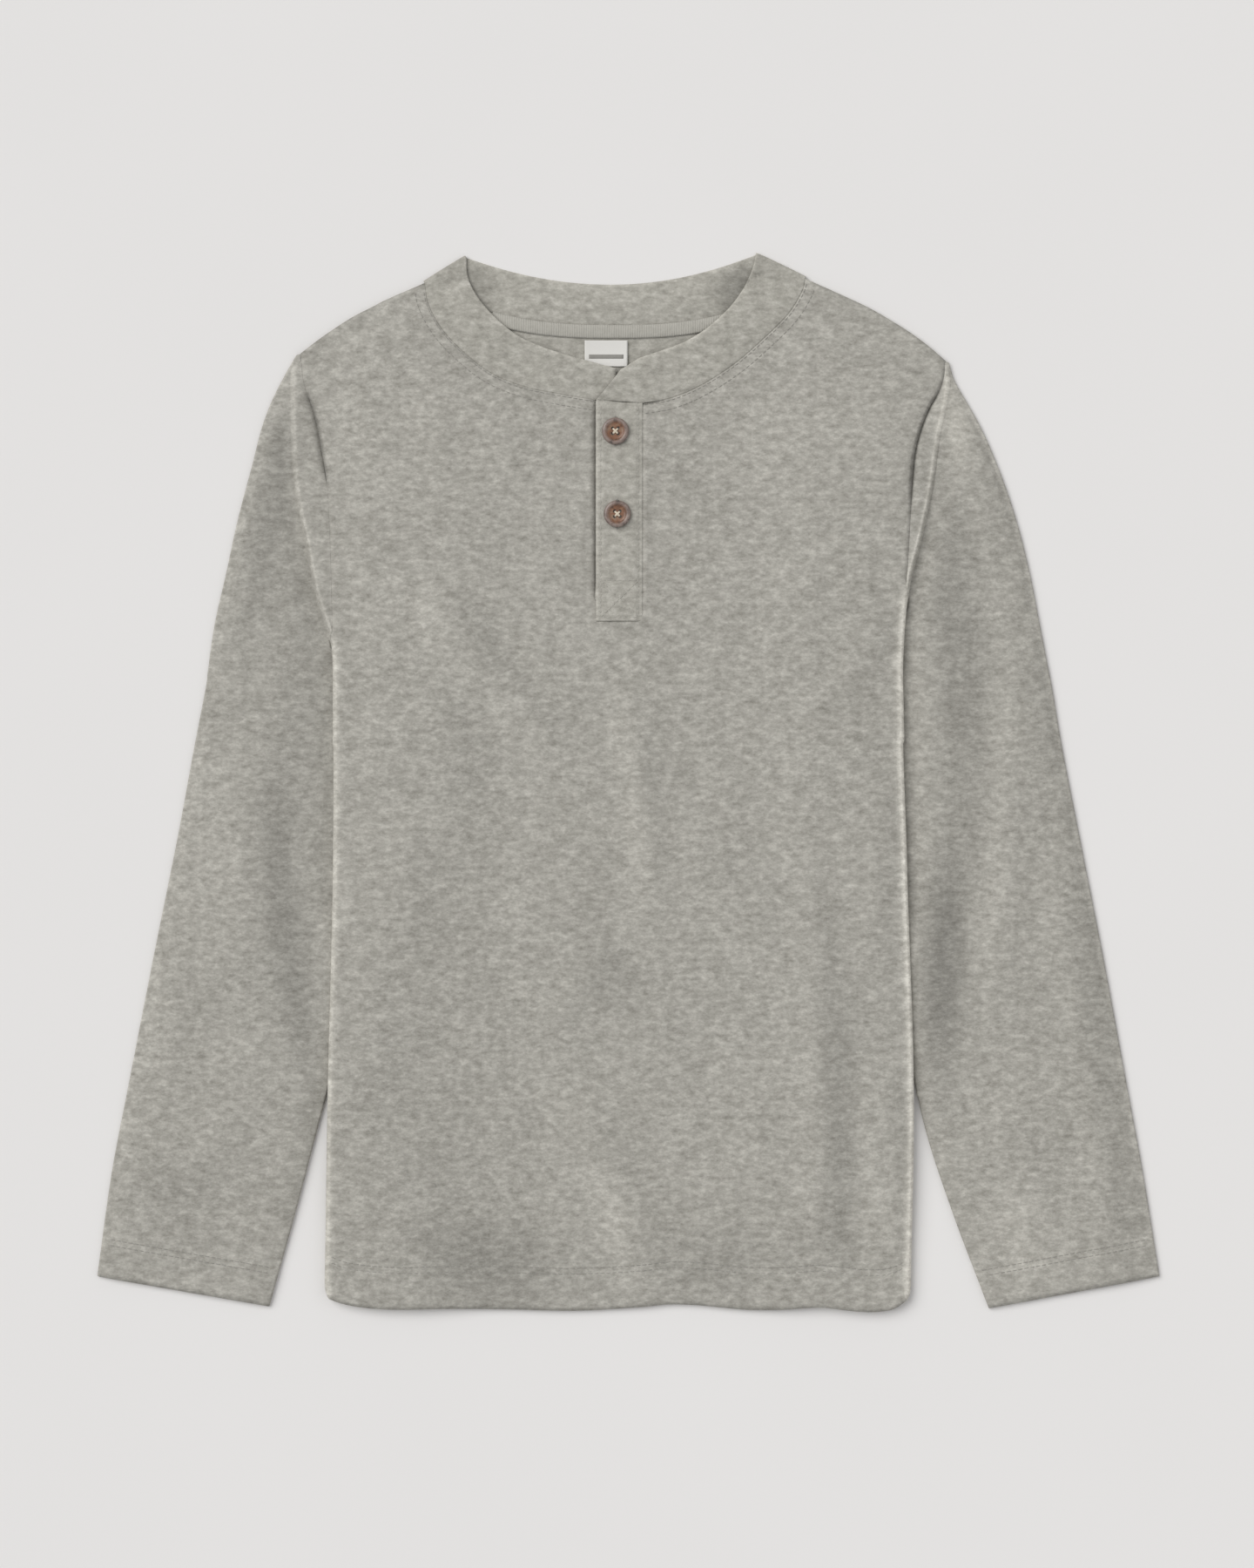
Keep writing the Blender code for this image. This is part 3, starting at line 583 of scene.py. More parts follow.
def thread_material(name, code):
    """Spun polyester sewing thread: matt, with a faint twist."""
    material, tree, shader, place = blank(name)
    twist = add(tree, "ShaderNodeTexNoise", {"Scale": grain(0.6), "Detail": 2.0},
                {"Vector": (place, "Object")})
    level = add(tree, "ShaderNodeMapRange", {"To Min": 0.8, "To Max": 1.15}, {"Value": (twist, "Fac")})
    tone = add(tree, "ShaderNodeHueSaturation", {"Color": srgb(code)}, {"Value": (level, "Result")})
    dress(tree, shader, tone, None, {"Roughness": 0.75, "Sheen Weight": 0.2})
    return material


def tape_material():
    """Herringbone cotton tape over the seam: pale, with short upright ribs about 1.2 mm apart."""
    material, tree, shader, place = blank("neck_tape_cotton")
    spot = {"Vector": (place, "Object")}
    bands = add(tree, "ShaderNodeTexWave", {"bands_direction": "X", "Scale": ribs(1.2), "Distortion": 1.5,
                                            "Detail": 2.0}, spot)
    fleck = add(tree, "ShaderNodeTexNoise", {"Scale": grain(2.4), "Detail": 3.0}, spot)
    level = add(tree, "ShaderNodeMath", {"operation": "MULTIPLY_ADD", 1: 0.5},
                {0: (bands, "Fac"), 2: (fleck, "Fac")})
    tone = add(tree, "ShaderNodeValToRGB", (), {"Fac": (level, "Value")},
               ((0.2, "9C9990"), (0.6, "A7A49B"), (0.95, "B1AEA5")))
    bump = add(tree, "ShaderNodeBump", {"Strength": 0.5, "Distance": 0.0005}, {"Height": (level, "Value")})
    dress(tree, shader, tone, bump, {"Roughness": 0.9, "Sheen Weight": 0.2})
    return material


def label_material():
    """Woven polyester satin: off-white, close ribs across, a soft gloss."""
    material, tree, shader, place = blank("label_satin")
    weave = add(tree, "ShaderNodeTexWave", {"bands_direction": "Y", "Scale": ribs(0.45), "Distortion": 0.4},
                {"Vector": (place, "Object")})
    tone = add(tree, "ShaderNodeValToRGB", (), {"Fac": (weave, "Fac")},
               ((0.0, "D2CFC9"), (1.0, "E6E4DF")))
    bump = add(tree, "ShaderNodeBump", {"Strength": 0.25, "Distance": 0.0002}, {"Height": (weave, "Fac")})
    dress(tree, shader, tone, bump, {"Roughness": 0.5, "Sheen Weight": 0.15})
    return material


def button_material():
    """Horn-effect polyester: red-brown in the middle and greyer at the rim, polished but worn soft."""
    material, tree, shader, place = blank("button_horn_polyester")
    cloud = add(tree, "ShaderNodeTexNoise", {"Scale": grain(4.8), "Detail": 5.0, "Roughness": 0.6,
                                             "Distortion": 1.6}, {"Vector": (place, "Object")})
    tone = add(tree, "ShaderNodeValToRGB", (), {"Fac": (cloud, "Fac")},
               ((0.30, "4A3728"), (0.50, "7B5136"), (0.70, "85705C")))
    rim = add(tree, "ShaderNodeAttribute", {"attribute_name": "rim"})
    grey = add(tree, "ShaderNodeHueSaturation", {"Saturation": 0.45, "Value": 1.12},
               {"Color": (tone, "Color"), "Fac": (rim, "Fac")})
    dress(tree, shader, grey, None, {"Roughness": 0.38, "Coat Weight": 0.25, "Coat Roughness": 0.25})
    return material


def floor_material():
    """Matt painted board: pale, even, faintly warm."""
    material, tree, shader, place = blank("pale_board")
    drift = add(tree, "ShaderNodeTexNoise", {"Scale": grain(167.0), "Detail": 2.0},
                {"Vector": (place, "Object")})
    tone = add(tree, "ShaderNodeValToRGB", (), {"Fac": (drift, "Fac")},
               ((0.3, "E3E1DF"), (0.7, "E4E2E0")))
    dress(tree, shader, tone, None, {"Roughness": 0.9, "Specular IOR Level": 0.1})
    return material


# ---- body panels
def share_rows(count):
    """Shares of a panel's length, closer where its fold begins."""
    marks = (0.0, SLIT_ROW, OPEN_ROW, FOLD_ROW, 1.0)
    parts = [np.linspace(a, b, max(6, round(count * (b - a) * d)), endpoint=False)
             for a, b, d in zip(marks, marks[1:], (1.0, 1.0, 2.2, 1.0))]
    return np.concatenate((*parts, [1.0]))


def nearest(v, share):
    """The row that lies at a share of the panel's length."""
    return int(np.argmin(np.abs(v - share)))


def side_column(side, step, v):
    """A column that keeps its distance from the armhole and the side fold."""
    inward = -side * step
    top_y = shoulder_y(edge_x(TIP_Y, side) + inward)
    low_y = hem_y(edge_x(HEM[0][1], side) + inward - (side * TURN if step == 0.0 else 0.0))
    y = top_y + (low_y - top_y) * v
    if step == 0.0:
        return side * np.minimum(side * edge_x(y, side), side * fold_x(y, side) - TURN), y
    return edge_x(y, side) + inward, y


def neck_column(row, neck_y, v):
    """A column that runs down from the neck seam, easing over to its place on the chest."""
    top_x, low_x = row[0], row[4]
    top_y, low_y = neck_y(top_x), hem_y(low_x)
    y = top_y + (low_y - top_y) * v
    return top_x + (low_x - top_x) * smooth((top_y - y) / COLUMN_SETTLE), y


def panel_xy(neck_y, v, dense):
    """x and y of a body panel: rows down it, columns drawn smoothly through the named ones.

    The columns come in five groups that meet at the neck points and at the slit's edges.
    Returns x, y and the range of columns of the slit.
    """
    sides = [[side_column(side, step, v) for step in SIDE_STEPS] for side in (-1, 1)]
    left, right = ([neck_column(row, neck_y, v) for row in table] for table in (NECK_LEFT, NECK_RIGHT))
    groups = (sides[0] + left[-1:], left[::-1], [left[0], right[0]], right, right[-1:] + sides[1][::-1])
    columns, edges = [], [0]
    for group, count in zip(groups, (26, 40, 10, 40, 26)):
        count = int(count * dense)
        fine = flow(np.linspace(0, len(group) - 1, count + 1), np.arange(len(group)), np.array(group))
        columns.append(fine[1:] if columns else fine)
        edges.append(edges[-1] + count)
    columns = np.concatenate(columns)
    return columns[:, 0].T, columns[:, 1].T, (edges[2], edges[3])


def folded_panel(neck_y, v, dense, top_z, radius, flap_z):
    """A panel with its sides turned under.

    From the left flap's inner edge, round the left fold by half a turn, over the panel,
    round the right fold and under to the right flap's inner edge. Where the armhole seam
    goes round the fold, the turn grows from nothing to a half. Returns the points, its cloth
    cells, the slit's columns and the painted highlight just inside each fold's edge.
    """
    x, y, slit = panel_xy(neck_y, v, dense)
    z = top_z(x, y)
    spread = smooth((v - FOLD_ROW) / 0.09)
    strips = {}
    for side, column in ((-1, 0), (1, -1)):
        near_x, near_y, high = x[:, column], y[:, column], z[:, column]
        start, end = CLOSE_Y[side]
        turned = math.pi * np.clip((start - near_y) / (start - end), 0, 1)
        low = flap_z(near_x, near_y)
        strip = []

        def lay(px, height):
            py = near_y + (hem_y(px) - hem_y(near_x)) * v ** 8
            strip.append(np.stack((px, py, height), axis=1))

        for part in np.linspace(0, 1, FOLD_COLUMNS + 1)[1:]:
            angle = turned * part
            end_x = near_x + side * radius * np.sin(angle)
            end_z = (high + low) / 2 + (high - low) / 2 * np.cos(angle)
            lay(end_x, end_z)
        for share in np.linspace(0, 1, FOLD_COLUMNS + 1)[1:]:
            under_x = end_x - side * (FLAP - TURN) * share * spread
            lay(under_x, np.where(turned < math.pi, end_z, flap_z(under_x, near_y)))
        strips[side] = strip
    points = np.concatenate((np.stack(strips[-1][::-1], axis=1), np.stack((x, y, z), axis=-1),
                             np.stack(strips[1], axis=1)), axis=1)
    cells = np.ones((points.shape[0] - 1, points.shape[1] - 1), bool)
    lead = 2 * FOLD_COLUMNS
    for share, width in ((OPEN_ROW, lead), (FOLD_ROW, FOLD_COLUMNS)):
        end = nearest(v, share)
        cells[:end, :width] = cells[:end, -width:] = False
    # Painted highlight: the colour is paler just inside the edge of each fold, fading inward.
    fold_highlight = np.zeros(points.shape[:2])
    for side, column in ((-1, lead), (1, -1 - lead)):
        into = side * (points[:, column, 0][:, None] - points[:, :, 0])
        below = smooth((CLOSE_Y[side][0] + 1 - points[:, :, 1]) / 10)
        fold_highlight = np.maximum(fold_highlight, FOLD_HIGHLIGHT[side] * np.exp(-np.maximum(into + 0.6, 0) / 1.3) * below)
    return points, cells, (slit[0] + lead, slit[1] + lead), fold_highlight


def hem_ridge(over):
    """Doubled cloth of a hem, over being the height past its stitching, where a groove runs."""
    return 0.35 * (1 - smooth(over / 1.2)) - 0.25 * bell(over, 1.0)


def front_surface(x, y):
    """The front's wall with its finishes: hem, seam valleys, and its rise beside the placket."""
    z = front_z(x, y)
    above_hem = y - hem_y(x)
    over = above_hem - HEM_DEPTH
    z = z + hem_ridge(over) - 0.18 * bell(over + ROW_GAP, 0.9)
    z = z - 0.9 * np.exp(-above_hem / 1.2)
    for side in (-1, 1):
        inward = side * (edge_x(y, side) - x)
        near = np.maximum(inward, 0)
        deep = pinch(y, side)
        z = z + deep * 0.9 * (1 - bell(near, 3.5)) * bell(near, 22.0)
        z = z - (0.06 + 0.8 * deep) * smooth((y - CLOSE_Y[side][0]) / 12) * bell(near, 1.3)
    a, b = PLACKET_X
    beside = smooth((y - PLACKET_BOTTOM + 6) / 8) * smooth((front_neck_y(x) - y + 1.5) / 3)
    right = np.where(x > b - 0.5, bell(np.maximum(x - b, 0), 2.6), 0.0)
    left = np.where(x < a + 0.5, bell(x - a + 1.6, 1.5), 0.0)
    foot = bell(np.maximum(PLACKET_BOTTOM - y, 0), 2.4) * smooth((x - a + 2) / 3) \
        * smooth((b + 2 - x) / 3) * (y < PLACKET_BOTTOM + 0.3)
    return z + 1.0 * beside * right - 0.15 * beside * left * smooth((y - 104) / 8) + 0.7 * foot


def make_front(material):
    """Front body panel: slit for the placket, hemmed, sides folded under."""
    v = share_rows(230)
    points, cells, slit, fold_highlight = folded_panel(
        front_neck_y, v, 1.0, front_surface, PITCH * 1.5, lambda x, y: sleeve_lift(x, y) + HALF)
    cells[:nearest(v, SLIT_ROW), slit[0]:slit[1]] = False
    x, y = points[:, :, 0], points[:, :, 1]
    # Painted light and shade in patches, with a painted highlight just inside each side fold.
    nap_and_painted_light = painted_light_and_shade(x, y, FRONT_LIGHT_AND_SHADE) + fold_highlight
    # Painted shade along the armhole seam's valley.
    for side in (-1, 1):
        inward = np.maximum(side * (edge_x(y, side) - x), 0)
        nap_and_painted_light -= 0.4 * pinch(y, side) * bell(inward, 1.2)
    return shell("front_panel", points, WALL, material, cells, weld=True, nap_and_painted_light=nap_and_painted_light)


def make_back(material):
    """Back body panel: its turned-under sides lie between it and those of the front."""
    v = share_rows(150)
    points, cells = folded_panel(
        back_neck_y, v, 0.7, back_z, PITCH / 2, lambda x, y: sleeve_lift(x, y) + PITCH + HALF)[:2]
    return shell("back_panel", points, WALL, material, cells, weld=True)


# ---- sleeves
def sleeve_rows(side):
    """Ends of each row of a sleeve from shoulder to cuff, and how far the seam has turned.

    The inner end follows the armhole seam down, goes with it round the side fold, moves in
    under the body and follows the underarm to the cuff.
    """
    table = SLEEVES[side]
    top_y = float(shoulder_y(edge_x(TIP_Y, side))) - 0.3
    closing, under = CLOSE_Y[side]
    down = np.linspace(top_y, closing, 84)
    inner = np.stack((edge_x(down, side) + side * SEAM_LINE, down), axis=1)
    around = np.linspace(closing, under, 12)[1:]
    angle = math.pi * np.linspace(0, 1, 12)[1:]
    near = fold_x(around, side) - side * TURN
    inner = np.concatenate((inner, np.stack(
        (near + side * ((TURN - HALF) * np.sin(angle) + SEAM_LINE), around), axis=1)))
    turned = np.concatenate((np.zeros(84), angle))
    outer_y = np.linspace(top_y - 0.6, under, len(inner))
    outer = np.stack((by_height(CAP_OUTER, outer_y, side), outer_y), axis=1)
    inner_keys = np.array([inner[-1], (edge_x(56.0, side) - side * 22.0, 56.0), *table[:, 2:]])
    outer_keys = np.array([outer[-1], (by_height(CAP_OUTER, 57.0, side), 57.0), *table[:, :2]])
    r = np.linspace(0, len(inner_keys) - 1, 150)[1:]
    lower_inner, lower_outer = (flow(r, np.arange(len(inner_keys)), k) for k in (inner_keys, outer_keys))
    return (np.concatenate((outer, lower_outer)), np.concatenate((inner, lower_inner)),
            np.concatenate((turned, np.full(len(r), math.pi))), np.concatenate((np.zeros(len(inner)), r)))


def make_sleeve(name, side, material):
    """A sleeve laid flat, closed along its underarm seam.

    Round it: along the floor from the inner edge, half a turn at the outer fold, and back
    over. Over the cap, the upper layer climbs a rounded fold, a quarter ellipse in section,
    and lies level with the front as far as the armhole seam. Below the underarm its inner
    edge curls down to meet the lower layer.
    """
    under_columns, turn_columns, top_columns = 21, 11, 47
    outer, inner, turned, below = sleeve_rows(side)
    count = len(outer)
    length = np.linalg.norm(inner - outer, axis=1)
    unit = (inner - outer) / length[:, None]
    radius = PITCH / 2
    lead = np.minimum(radius + HALF, 0.25 * length)
    start = outer + unit * lead[:, None]
    curl = smooth((below - 1.6) / 0.8)
    tail = np.minimum(0.1 + (math.pi * radius - 0.1) * smooth(below / 1.5), 0.2 * length)
    finish = inner - unit * (tail * (1 - curl) + radius * curl)[:, None]
    run = finish - start
    share = np.full(count, 0.8)
    for _ in range(5):
        at_y = start[:, 1] + run[:, 1] * share
        share = np.clip((fold_x(at_y, side) - start[:, 0]) / run[:, 0], 0.1, 0.996)
    share = share + (0.6 - share) * smooth((below - 0.3) / 1.2)
    on_cap = (1 + np.cos(turned)) / 2
    width = np.linalg.norm(run, axis=1) * (1 - share)
    nose = np.minimum(2.4, 0.9 * width)
    level = HALF + PITCH
    seam_y = np.maximum(inner[:, 1], CLOSE_Y[side][1])
    flush = front_surface(side * np.minimum(side * edge_x(seam_y, side),
                                            side * fold_x(seam_y, side) - TURN), seam_y)
    end_z = level + (flush - level) * on_cap
    rim_z = end_z + 0.35 * on_cap * smooth((TIP_Y - 4 - inner[:, 1]) / 12)
    columns = []

    def lay(place, height):
        columns.append(np.stack((place[:, 0], place[:, 1], height), axis=1))

    def top(place):
        return level + sleeve_relief(place[:, 0], place[:, 1], side, start)

    for part in np.linspace(1, 0, under_columns + 1)[:-1]:
        lay(start + (inner - unit * (radius * curl)[:, None] - start) * part, np.full(count, HALF))
    for angle in np.linspace(0, math.pi, turn_columns):
        lay(start - unit * (np.minimum(radius, lead) * math.sin(angle))[:, None],
            HALF + radius - radius * math.cos(angle) + 0 * length)
    for part in np.linspace(0, 1, top_columns + 1)[1:]:
        place = start + run * (share * part)[:, None]
        lay(place, top(place))
    foot = start + run * share[:, None]
    foot_z = top(foot)
    for angle in np.linspace(0, math.pi / 2, turn_columns + 1)[1:]:
        place = foot + unit * (nose * angle / (math.pi / 2))[:, None]
        risen = foot_z + (rim_z - foot_z) * math.sin(angle)
        lay(place, risen * on_cap + top(place) * (1 - on_cap))
    begin = share + nose / np.linalg.norm(run, axis=1)
    deep = pinch(inner[:, 1], side)
    for part in np.linspace(0, 1, 24)[1:]:
        place = start + run * (begin + (1 - begin) * part)[:, None]
        to_seam = (1 - part) * (1 - begin) * np.linalg.norm(run, axis=1) + tail
        dip = (0.05 + 1.5 * deep) * smooth((inner[:, 1] - CLOSE_Y[side][0]) / 12)
        dip = dip * bell(to_seam, 2.2)
        lay(place, (rim_z + (end_z - rim_z) * smooth(part) - dip) * on_cap + top(place) * (1 - on_cap))
    last = columns[-1][:, 2]
    for part in np.linspace(0, 1, 8)[1:]:
        s = tail * part
        bend = np.maximum(curl, 1e-6) / radius
        place = finish + unit * (np.sin(bend * s) / bend)[:, None]
        drop = (1 - np.cos(bend * s)) / bend
        lay(place, last - drop * (last - HALF) / (2 * radius) * curl)
    points = np.stack(columns, axis=1)
    x, y = points[:, :, 0], points[:, :, 1]
    # Painted highlight along the cap's fold and the outer fold, painted shade in the armhole seam's valley,
    # and painted light and shade in patches.
    cap_fold_highlight = np.zeros(points.shape[:2])
    first = under_columns + turn_columns + top_columns
    level_part = first + turn_columns
    cap_fold_highlight[:, first:level_part] = np.linspace(0.0, 1.0, turn_columns) ** 0.6
    from_fold = np.hypot(x - foot[:, None, 0], y - foot[:, None, 1]) - nose[:, None]
    cap_fold_highlight[:, level_part:] = np.exp(-np.maximum(from_fold[:, level_part:], 0) / 0.7)
    cap_fold_highlight *= (on_cap * smooth((below < 0.01) * (TIP_Y - inner[:, 1]) / 12))[:, None]
    to_seam = np.hypot(x - inner[:, None, 0], y - inner[:, None, 1])
    seam_shade = (deep * on_cap)[:, None] * bell(to_seam, 1.4)
    outer_fold_highlight = bell(np.arange(points.shape[1]) - 27.0, 4.0)[None, :]
    nap_and_painted_light = painted_light_and_shade(x, y, SLEEVE_LIGHT_AND_SHADE[side]) + (0.05 + 0.5 * FOLD_HIGHLIGHT[side]) * cap_fold_highlight
    nap_and_painted_light = nap_and_painted_light + 0.12 * outer_fold_highlight - 0.4 * seam_shade
    return shell(name, points, WALL, material, weld=True, nap_and_painted_light=nap_and_painted_light), points


def sleeve_relief(x, y, side, start):
    """Fullness, creases and waviness of a sleeve's upper layer, none of it under the body."""
    free = smooth(side * (x - fold_x(y, side)) / 15.0)
    free = np.where(y < -60.0, np.maximum(free, smooth((-60.0 - y) / 30.0)), free)
    inner_gap = np.maximum(side * (x - sleeve_inner_x(y, side)), 0)
    inner_round = np.sqrt(np.clip(inner_gap / 11.0, 0, 1))
    outer_gap = np.linalg.norm(np.stack((x, y), axis=-1) - start, axis=-1)
    outer_round = np.sqrt(np.clip(outer_gap / 18.0, 0, 1)) * (1 - 0.15 * np.clip(outer_gap / 80, 0, 1))
    rounded = outer_round * inner_round
    cuff = cuff_distance(x, y, side)
    over = cuff - CUFF_DEPTH
    full = 2.8 * rounded * (0.35 + 0.65 * smooth(cuff / 60.0))
    creased = crease_height(x, y, SLEEVE_CREASES[side]) + unevenness(x + 31 * side, y, 0.3)
    hem = hem_ridge(over)
    edge = 0.7 * np.exp(-np.maximum(cuff, 0) / 1.2)
    soft = 0.3
    total = full + creased * rounded
    total = soft * (np.logaddexp(0.0, total / soft) - math.log(2.0) * np.exp(-outer_gap / 3.0))
    return free * (total * smooth((outer_gap + 0.5) / 5.0) + hem * smooth(outer_gap / 3.0) - edge)


def cuff_distance(x, y, side):
    """Distance up the sleeve from its cuff."""
    a, b = SLEEVES[side][-1][:2], SLEEVES[side][-1][2:]
    along = (b - a) / np.linalg.norm(b - a)
    up = np.array((-along[1], along[0])) * -side
    return (x - a[0]) * up[0] + (y - a[1]) * up[1]


# ---- neckband
def band_places(seam, edge, shares):
    """Points up the band from just clear of the seam to its free edge, and the way up."""
    seam, edge = np.array(seam, float), np.array(edge, float)
    up = (edge - seam) / np.linalg.norm(edge - seam)
    base = seam + up * SEAM_LINE
    return base + (edge - base) * shares[:, None], up


def lap_rise(x):
    """The right end of the band climbs one layer to lie over the left end."""
    return PITCH * (1 - smooth((x - NECK_RIGHT[0][0]) / 15.0))


def band_round(shares):
    """The doubled strip is fuller between its edges, and its free edge is a rounded fold."""
    return 0.6 * np.sin(np.pi * np.clip(shares, 0, 1)) ** 0.6 - 0.5 * np.exp(-(1 - shares) / 0.05) \
        - 0.18 * np.exp(-shares / 0.04)


def make_neckband(material):
    """One strip round the neck: over the front, folded at each shoulder, along the back."""
    shares = np.concatenate((np.linspace(0, 0.12, 5), np.linspace(0.2, 0.85, 10), np.linspace(0.9, 1.0, 5)))
    full = band_round(shares)
    rows = []

    def lay(seam, edge, height, fuller):
        places = band_places(seam, edge, shares)[0]
        rows.append(np.column_stack((places, height(places[:, 0], places[:, 1]) + full * fuller)))

    def turn(row, side):
        places, up = band_places(row[:2], row[2:], shares)
        out = np.array((up[1], -up[0])) * side
        high = front_z(places[:, 0], places[:, 1]) + full * 0.5
        for angle in np.linspace(0, math.pi, 9)[1:-1][::side]:
            middle, reach = (high + HALF) / 2, (high - HALF) / 2
            spot = places + out * (reach * math.sin(angle))[:, None]
            rows.append(np.column_stack((spot, middle + reach * math.cos(angle))))

    def over(x, y):
        return front_z(x, y) + lap_rise(x)

    right, left = (flow(np.linspace(0, 7, 50), np.arange(8), table[:, :4])
                   for table in (NECK_RIGHT, NECK_LEFT))
    fullest = 0.5 + 0.5 * smooth(np.linspace(1, 0, 50) / 0.25)
    for row in np.linspace(BAND_END_OVER, right[0], 12, endpoint=False):
        lay(row[:2], row[2:], over, 1.0)
    for row, fuller in zip(right, fullest):
        lay(row[:2], row[2:], over, fuller)
    turn(right[-1], 1)
    for s in np.linspace(1, -1, 90):
        x, _, free_x, _ = (right[-1] + left[-1]) / 2 + s * (right[-1] - left[-1]) / 2
        free_y = BACK_EDGE_Y + ((right if s > 0 else left)[-1][3] - BACK_EDGE_Y) * s ** 2
        seam_y = float(back_neck_y(x))
        seam_z = float(back_z(np.array(x), np.array(seam_y)))
        crown = 1.3 * smooth((1 - abs(s)) / 0.5) * np.sin(np.pi * shares) ** 0.8
        fall = (seam_z - HALF) * (1 - smooth(shares)) + crown
        lay((x, seam_y), (free_x, free_y), lambda px, py: HALF + fall, 0.8 * smooth((1 - abs(s)) / 0.2))
    turn(left[-1], -1)
    for row, fuller in zip(left[::-1], fullest[::-1]):
        lay(row[:2], row[2:], front_z, fuller)
    for row in np.linspace(left[0], BAND_END_UNDER, 8)[1:]:
        lay(row[:2], row[2:], front_z, 0.4)
    points = np.array(rows)
    # Painted highlight along the band's free edge, and painted shade at both ends of the back band, on its
    # low parts only.
    rim = np.exp(-(1 - shares) / 0.035)[None, :] * 0.3
    nap_and_painted_light = painted_light_and_shade(points[:, :, 0], points[:, :, 1], BAND_SHADE) * (points[:, :, 2] < 3.0) + rim
    return shell("neck_band", points, WALL, material, nap_and_painted_light=nap_and_painted_light)


def upper_surface(x, y):
    """Top strip of the placket, its left edge softly rounded and its right one sewn down level."""
    a, b = PLACKET_X
    base = front_z(x, y) + PITCH
    left, right = x - a, b - x
    grooves = 0.25 * bell(left - STITCH_INSET, 0.7) + 0.3 * bell(right - STITCH_INSET, 0.7)
    clear = smooth((front_neck_y(x) - y) / 5.0)
    crown = 0.45 * smooth(left / 1.8) * smooth(right / 5.0) - 0.35 * (1 - smooth(right / 3.0))
    crown = crown * clear - 0.15 * (1 - clear)
    up = y - PLACKET_BOTTOM
    foot = 0.25 * bell(y - BOX_TOP, 0.8) + 0.25 * bell(up - 2.0, 0.7)
    return base + crown - grooves - foot - 0.5 * (1 - smooth(up / 3.0))


def strip_points(x, top, low, rows, height):
    """A strip's grid: columns at x, rows from its top edge to its foot, at a height (x, y)."""
    y = top + (low - top) * np.linspace(0, 1, rows)[:, None]
    x = np.broadcast_to(x, y.shape)
    return np.stack((x, y, height(x, y)), axis=-1)


def make_placket_upper(material):
    """The strip on top: grid over the front, moved out by a layer."""
    x = np.linspace(*PLACKET_X, 40)
    points = strip_points(x, front_neck_y(x) + SEAM_GAP, PLACKET_BOTTOM, 130, upper_surface)
    # Painted highlight along the strip's left edge.
    nap_and_painted_light = 0.25 * np.exp(-(x - PLACKET_X[0]) / 0.8)
    return shell("placket_top_strip", points, WALL, material, nap_and_painted_light=nap_and_painted_light)


def make_placket_under(material):
    """The strip beneath, in the slit, sunk a little so that the slit reads as an opening."""
    left, right = NECK_LEFT[0][0], NECK_RIGHT[0][0]
    low = SLIT_BOTTOM + SEAM_GAP
    x = np.linspace(left + SEAM_LINE, right - SEAM_GAP, 20)

    def sunk(x, y):
        return front_z(x, y) - 0.45 * smooth((y - low) / 12) * smooth((right - x) / 8)

    points = strip_points(x, front_neck_y(x) - SEAM_GAP, low, 80, sunk)
    return shell("placket_under_strip", points, WALL, material)


def make_tape(material):
    """Tape over the back neck seam, crowned across its width."""
    x = np.linspace(*TAPE_SPAN, 90)
    y = back_neck_y(x) + 0.7
    slope = np.gradient(y, x)
    normal = np.stack((slope, -np.ones_like(slope)), axis=-1) / np.sqrt(1 + slope ** 2)[:, None]
    rows = []
    for share in np.linspace(0, 1, 9):
        place = np.stack((x, y), axis=-1) + normal * TAPE_WIDTH * share
        height = back_z(place[:, 0], place[:, 1]) + PITCH - 0.45 + 0.45 * math.sin(math.pi * share) ** 0.5
        rows.append(np.column_stack((place, height)))
    return shell("neck_seam_tape", np.array(rows), 0.6, material)


def label_z(x, y):
    """The label's middle: it lies on the back and curls up towards its sides as |s| cubed."""
    s = (x - LABEL_X[0]) / (LABEL_X[1] - LABEL_X[0])
    return back_z(x, y) + PITCH - 0.15 + 0.35 * np.abs(2 * s - 1) ** 3 + 0.15 * np.sin(y / 4.0)


def make_label(material):
    """A small folded label, left bare, that hangs from the tape."""
    x, y = np.meshgrid(np.linspace(*LABEL_X, 26), np.linspace(*LABEL_Y[::-1], 36))
    return shell("neck_label", np.stack((x, y, label_z(x, y)), axis=-1), 0.35, material)


def make_label_bar(material):
    """A plain woven bar across the label."""
    x, y = np.meshgrid(np.linspace(LABEL_X[0] + 2.2, LABEL_X[1] - 2.2, 20), np.linspace(*BAR_Y, 5))
    return shell("label_bar", np.stack((x, y, label_z(x, y) + 0.24), axis=-1), 0.12, material)


# ---- buttons
def button_base(centre):
    """Height of a button's underside, just clear of the strip."""
    return float(upper_surface(np.array(centre[0]), np.array(centre[1]))) + HALF + 0.1


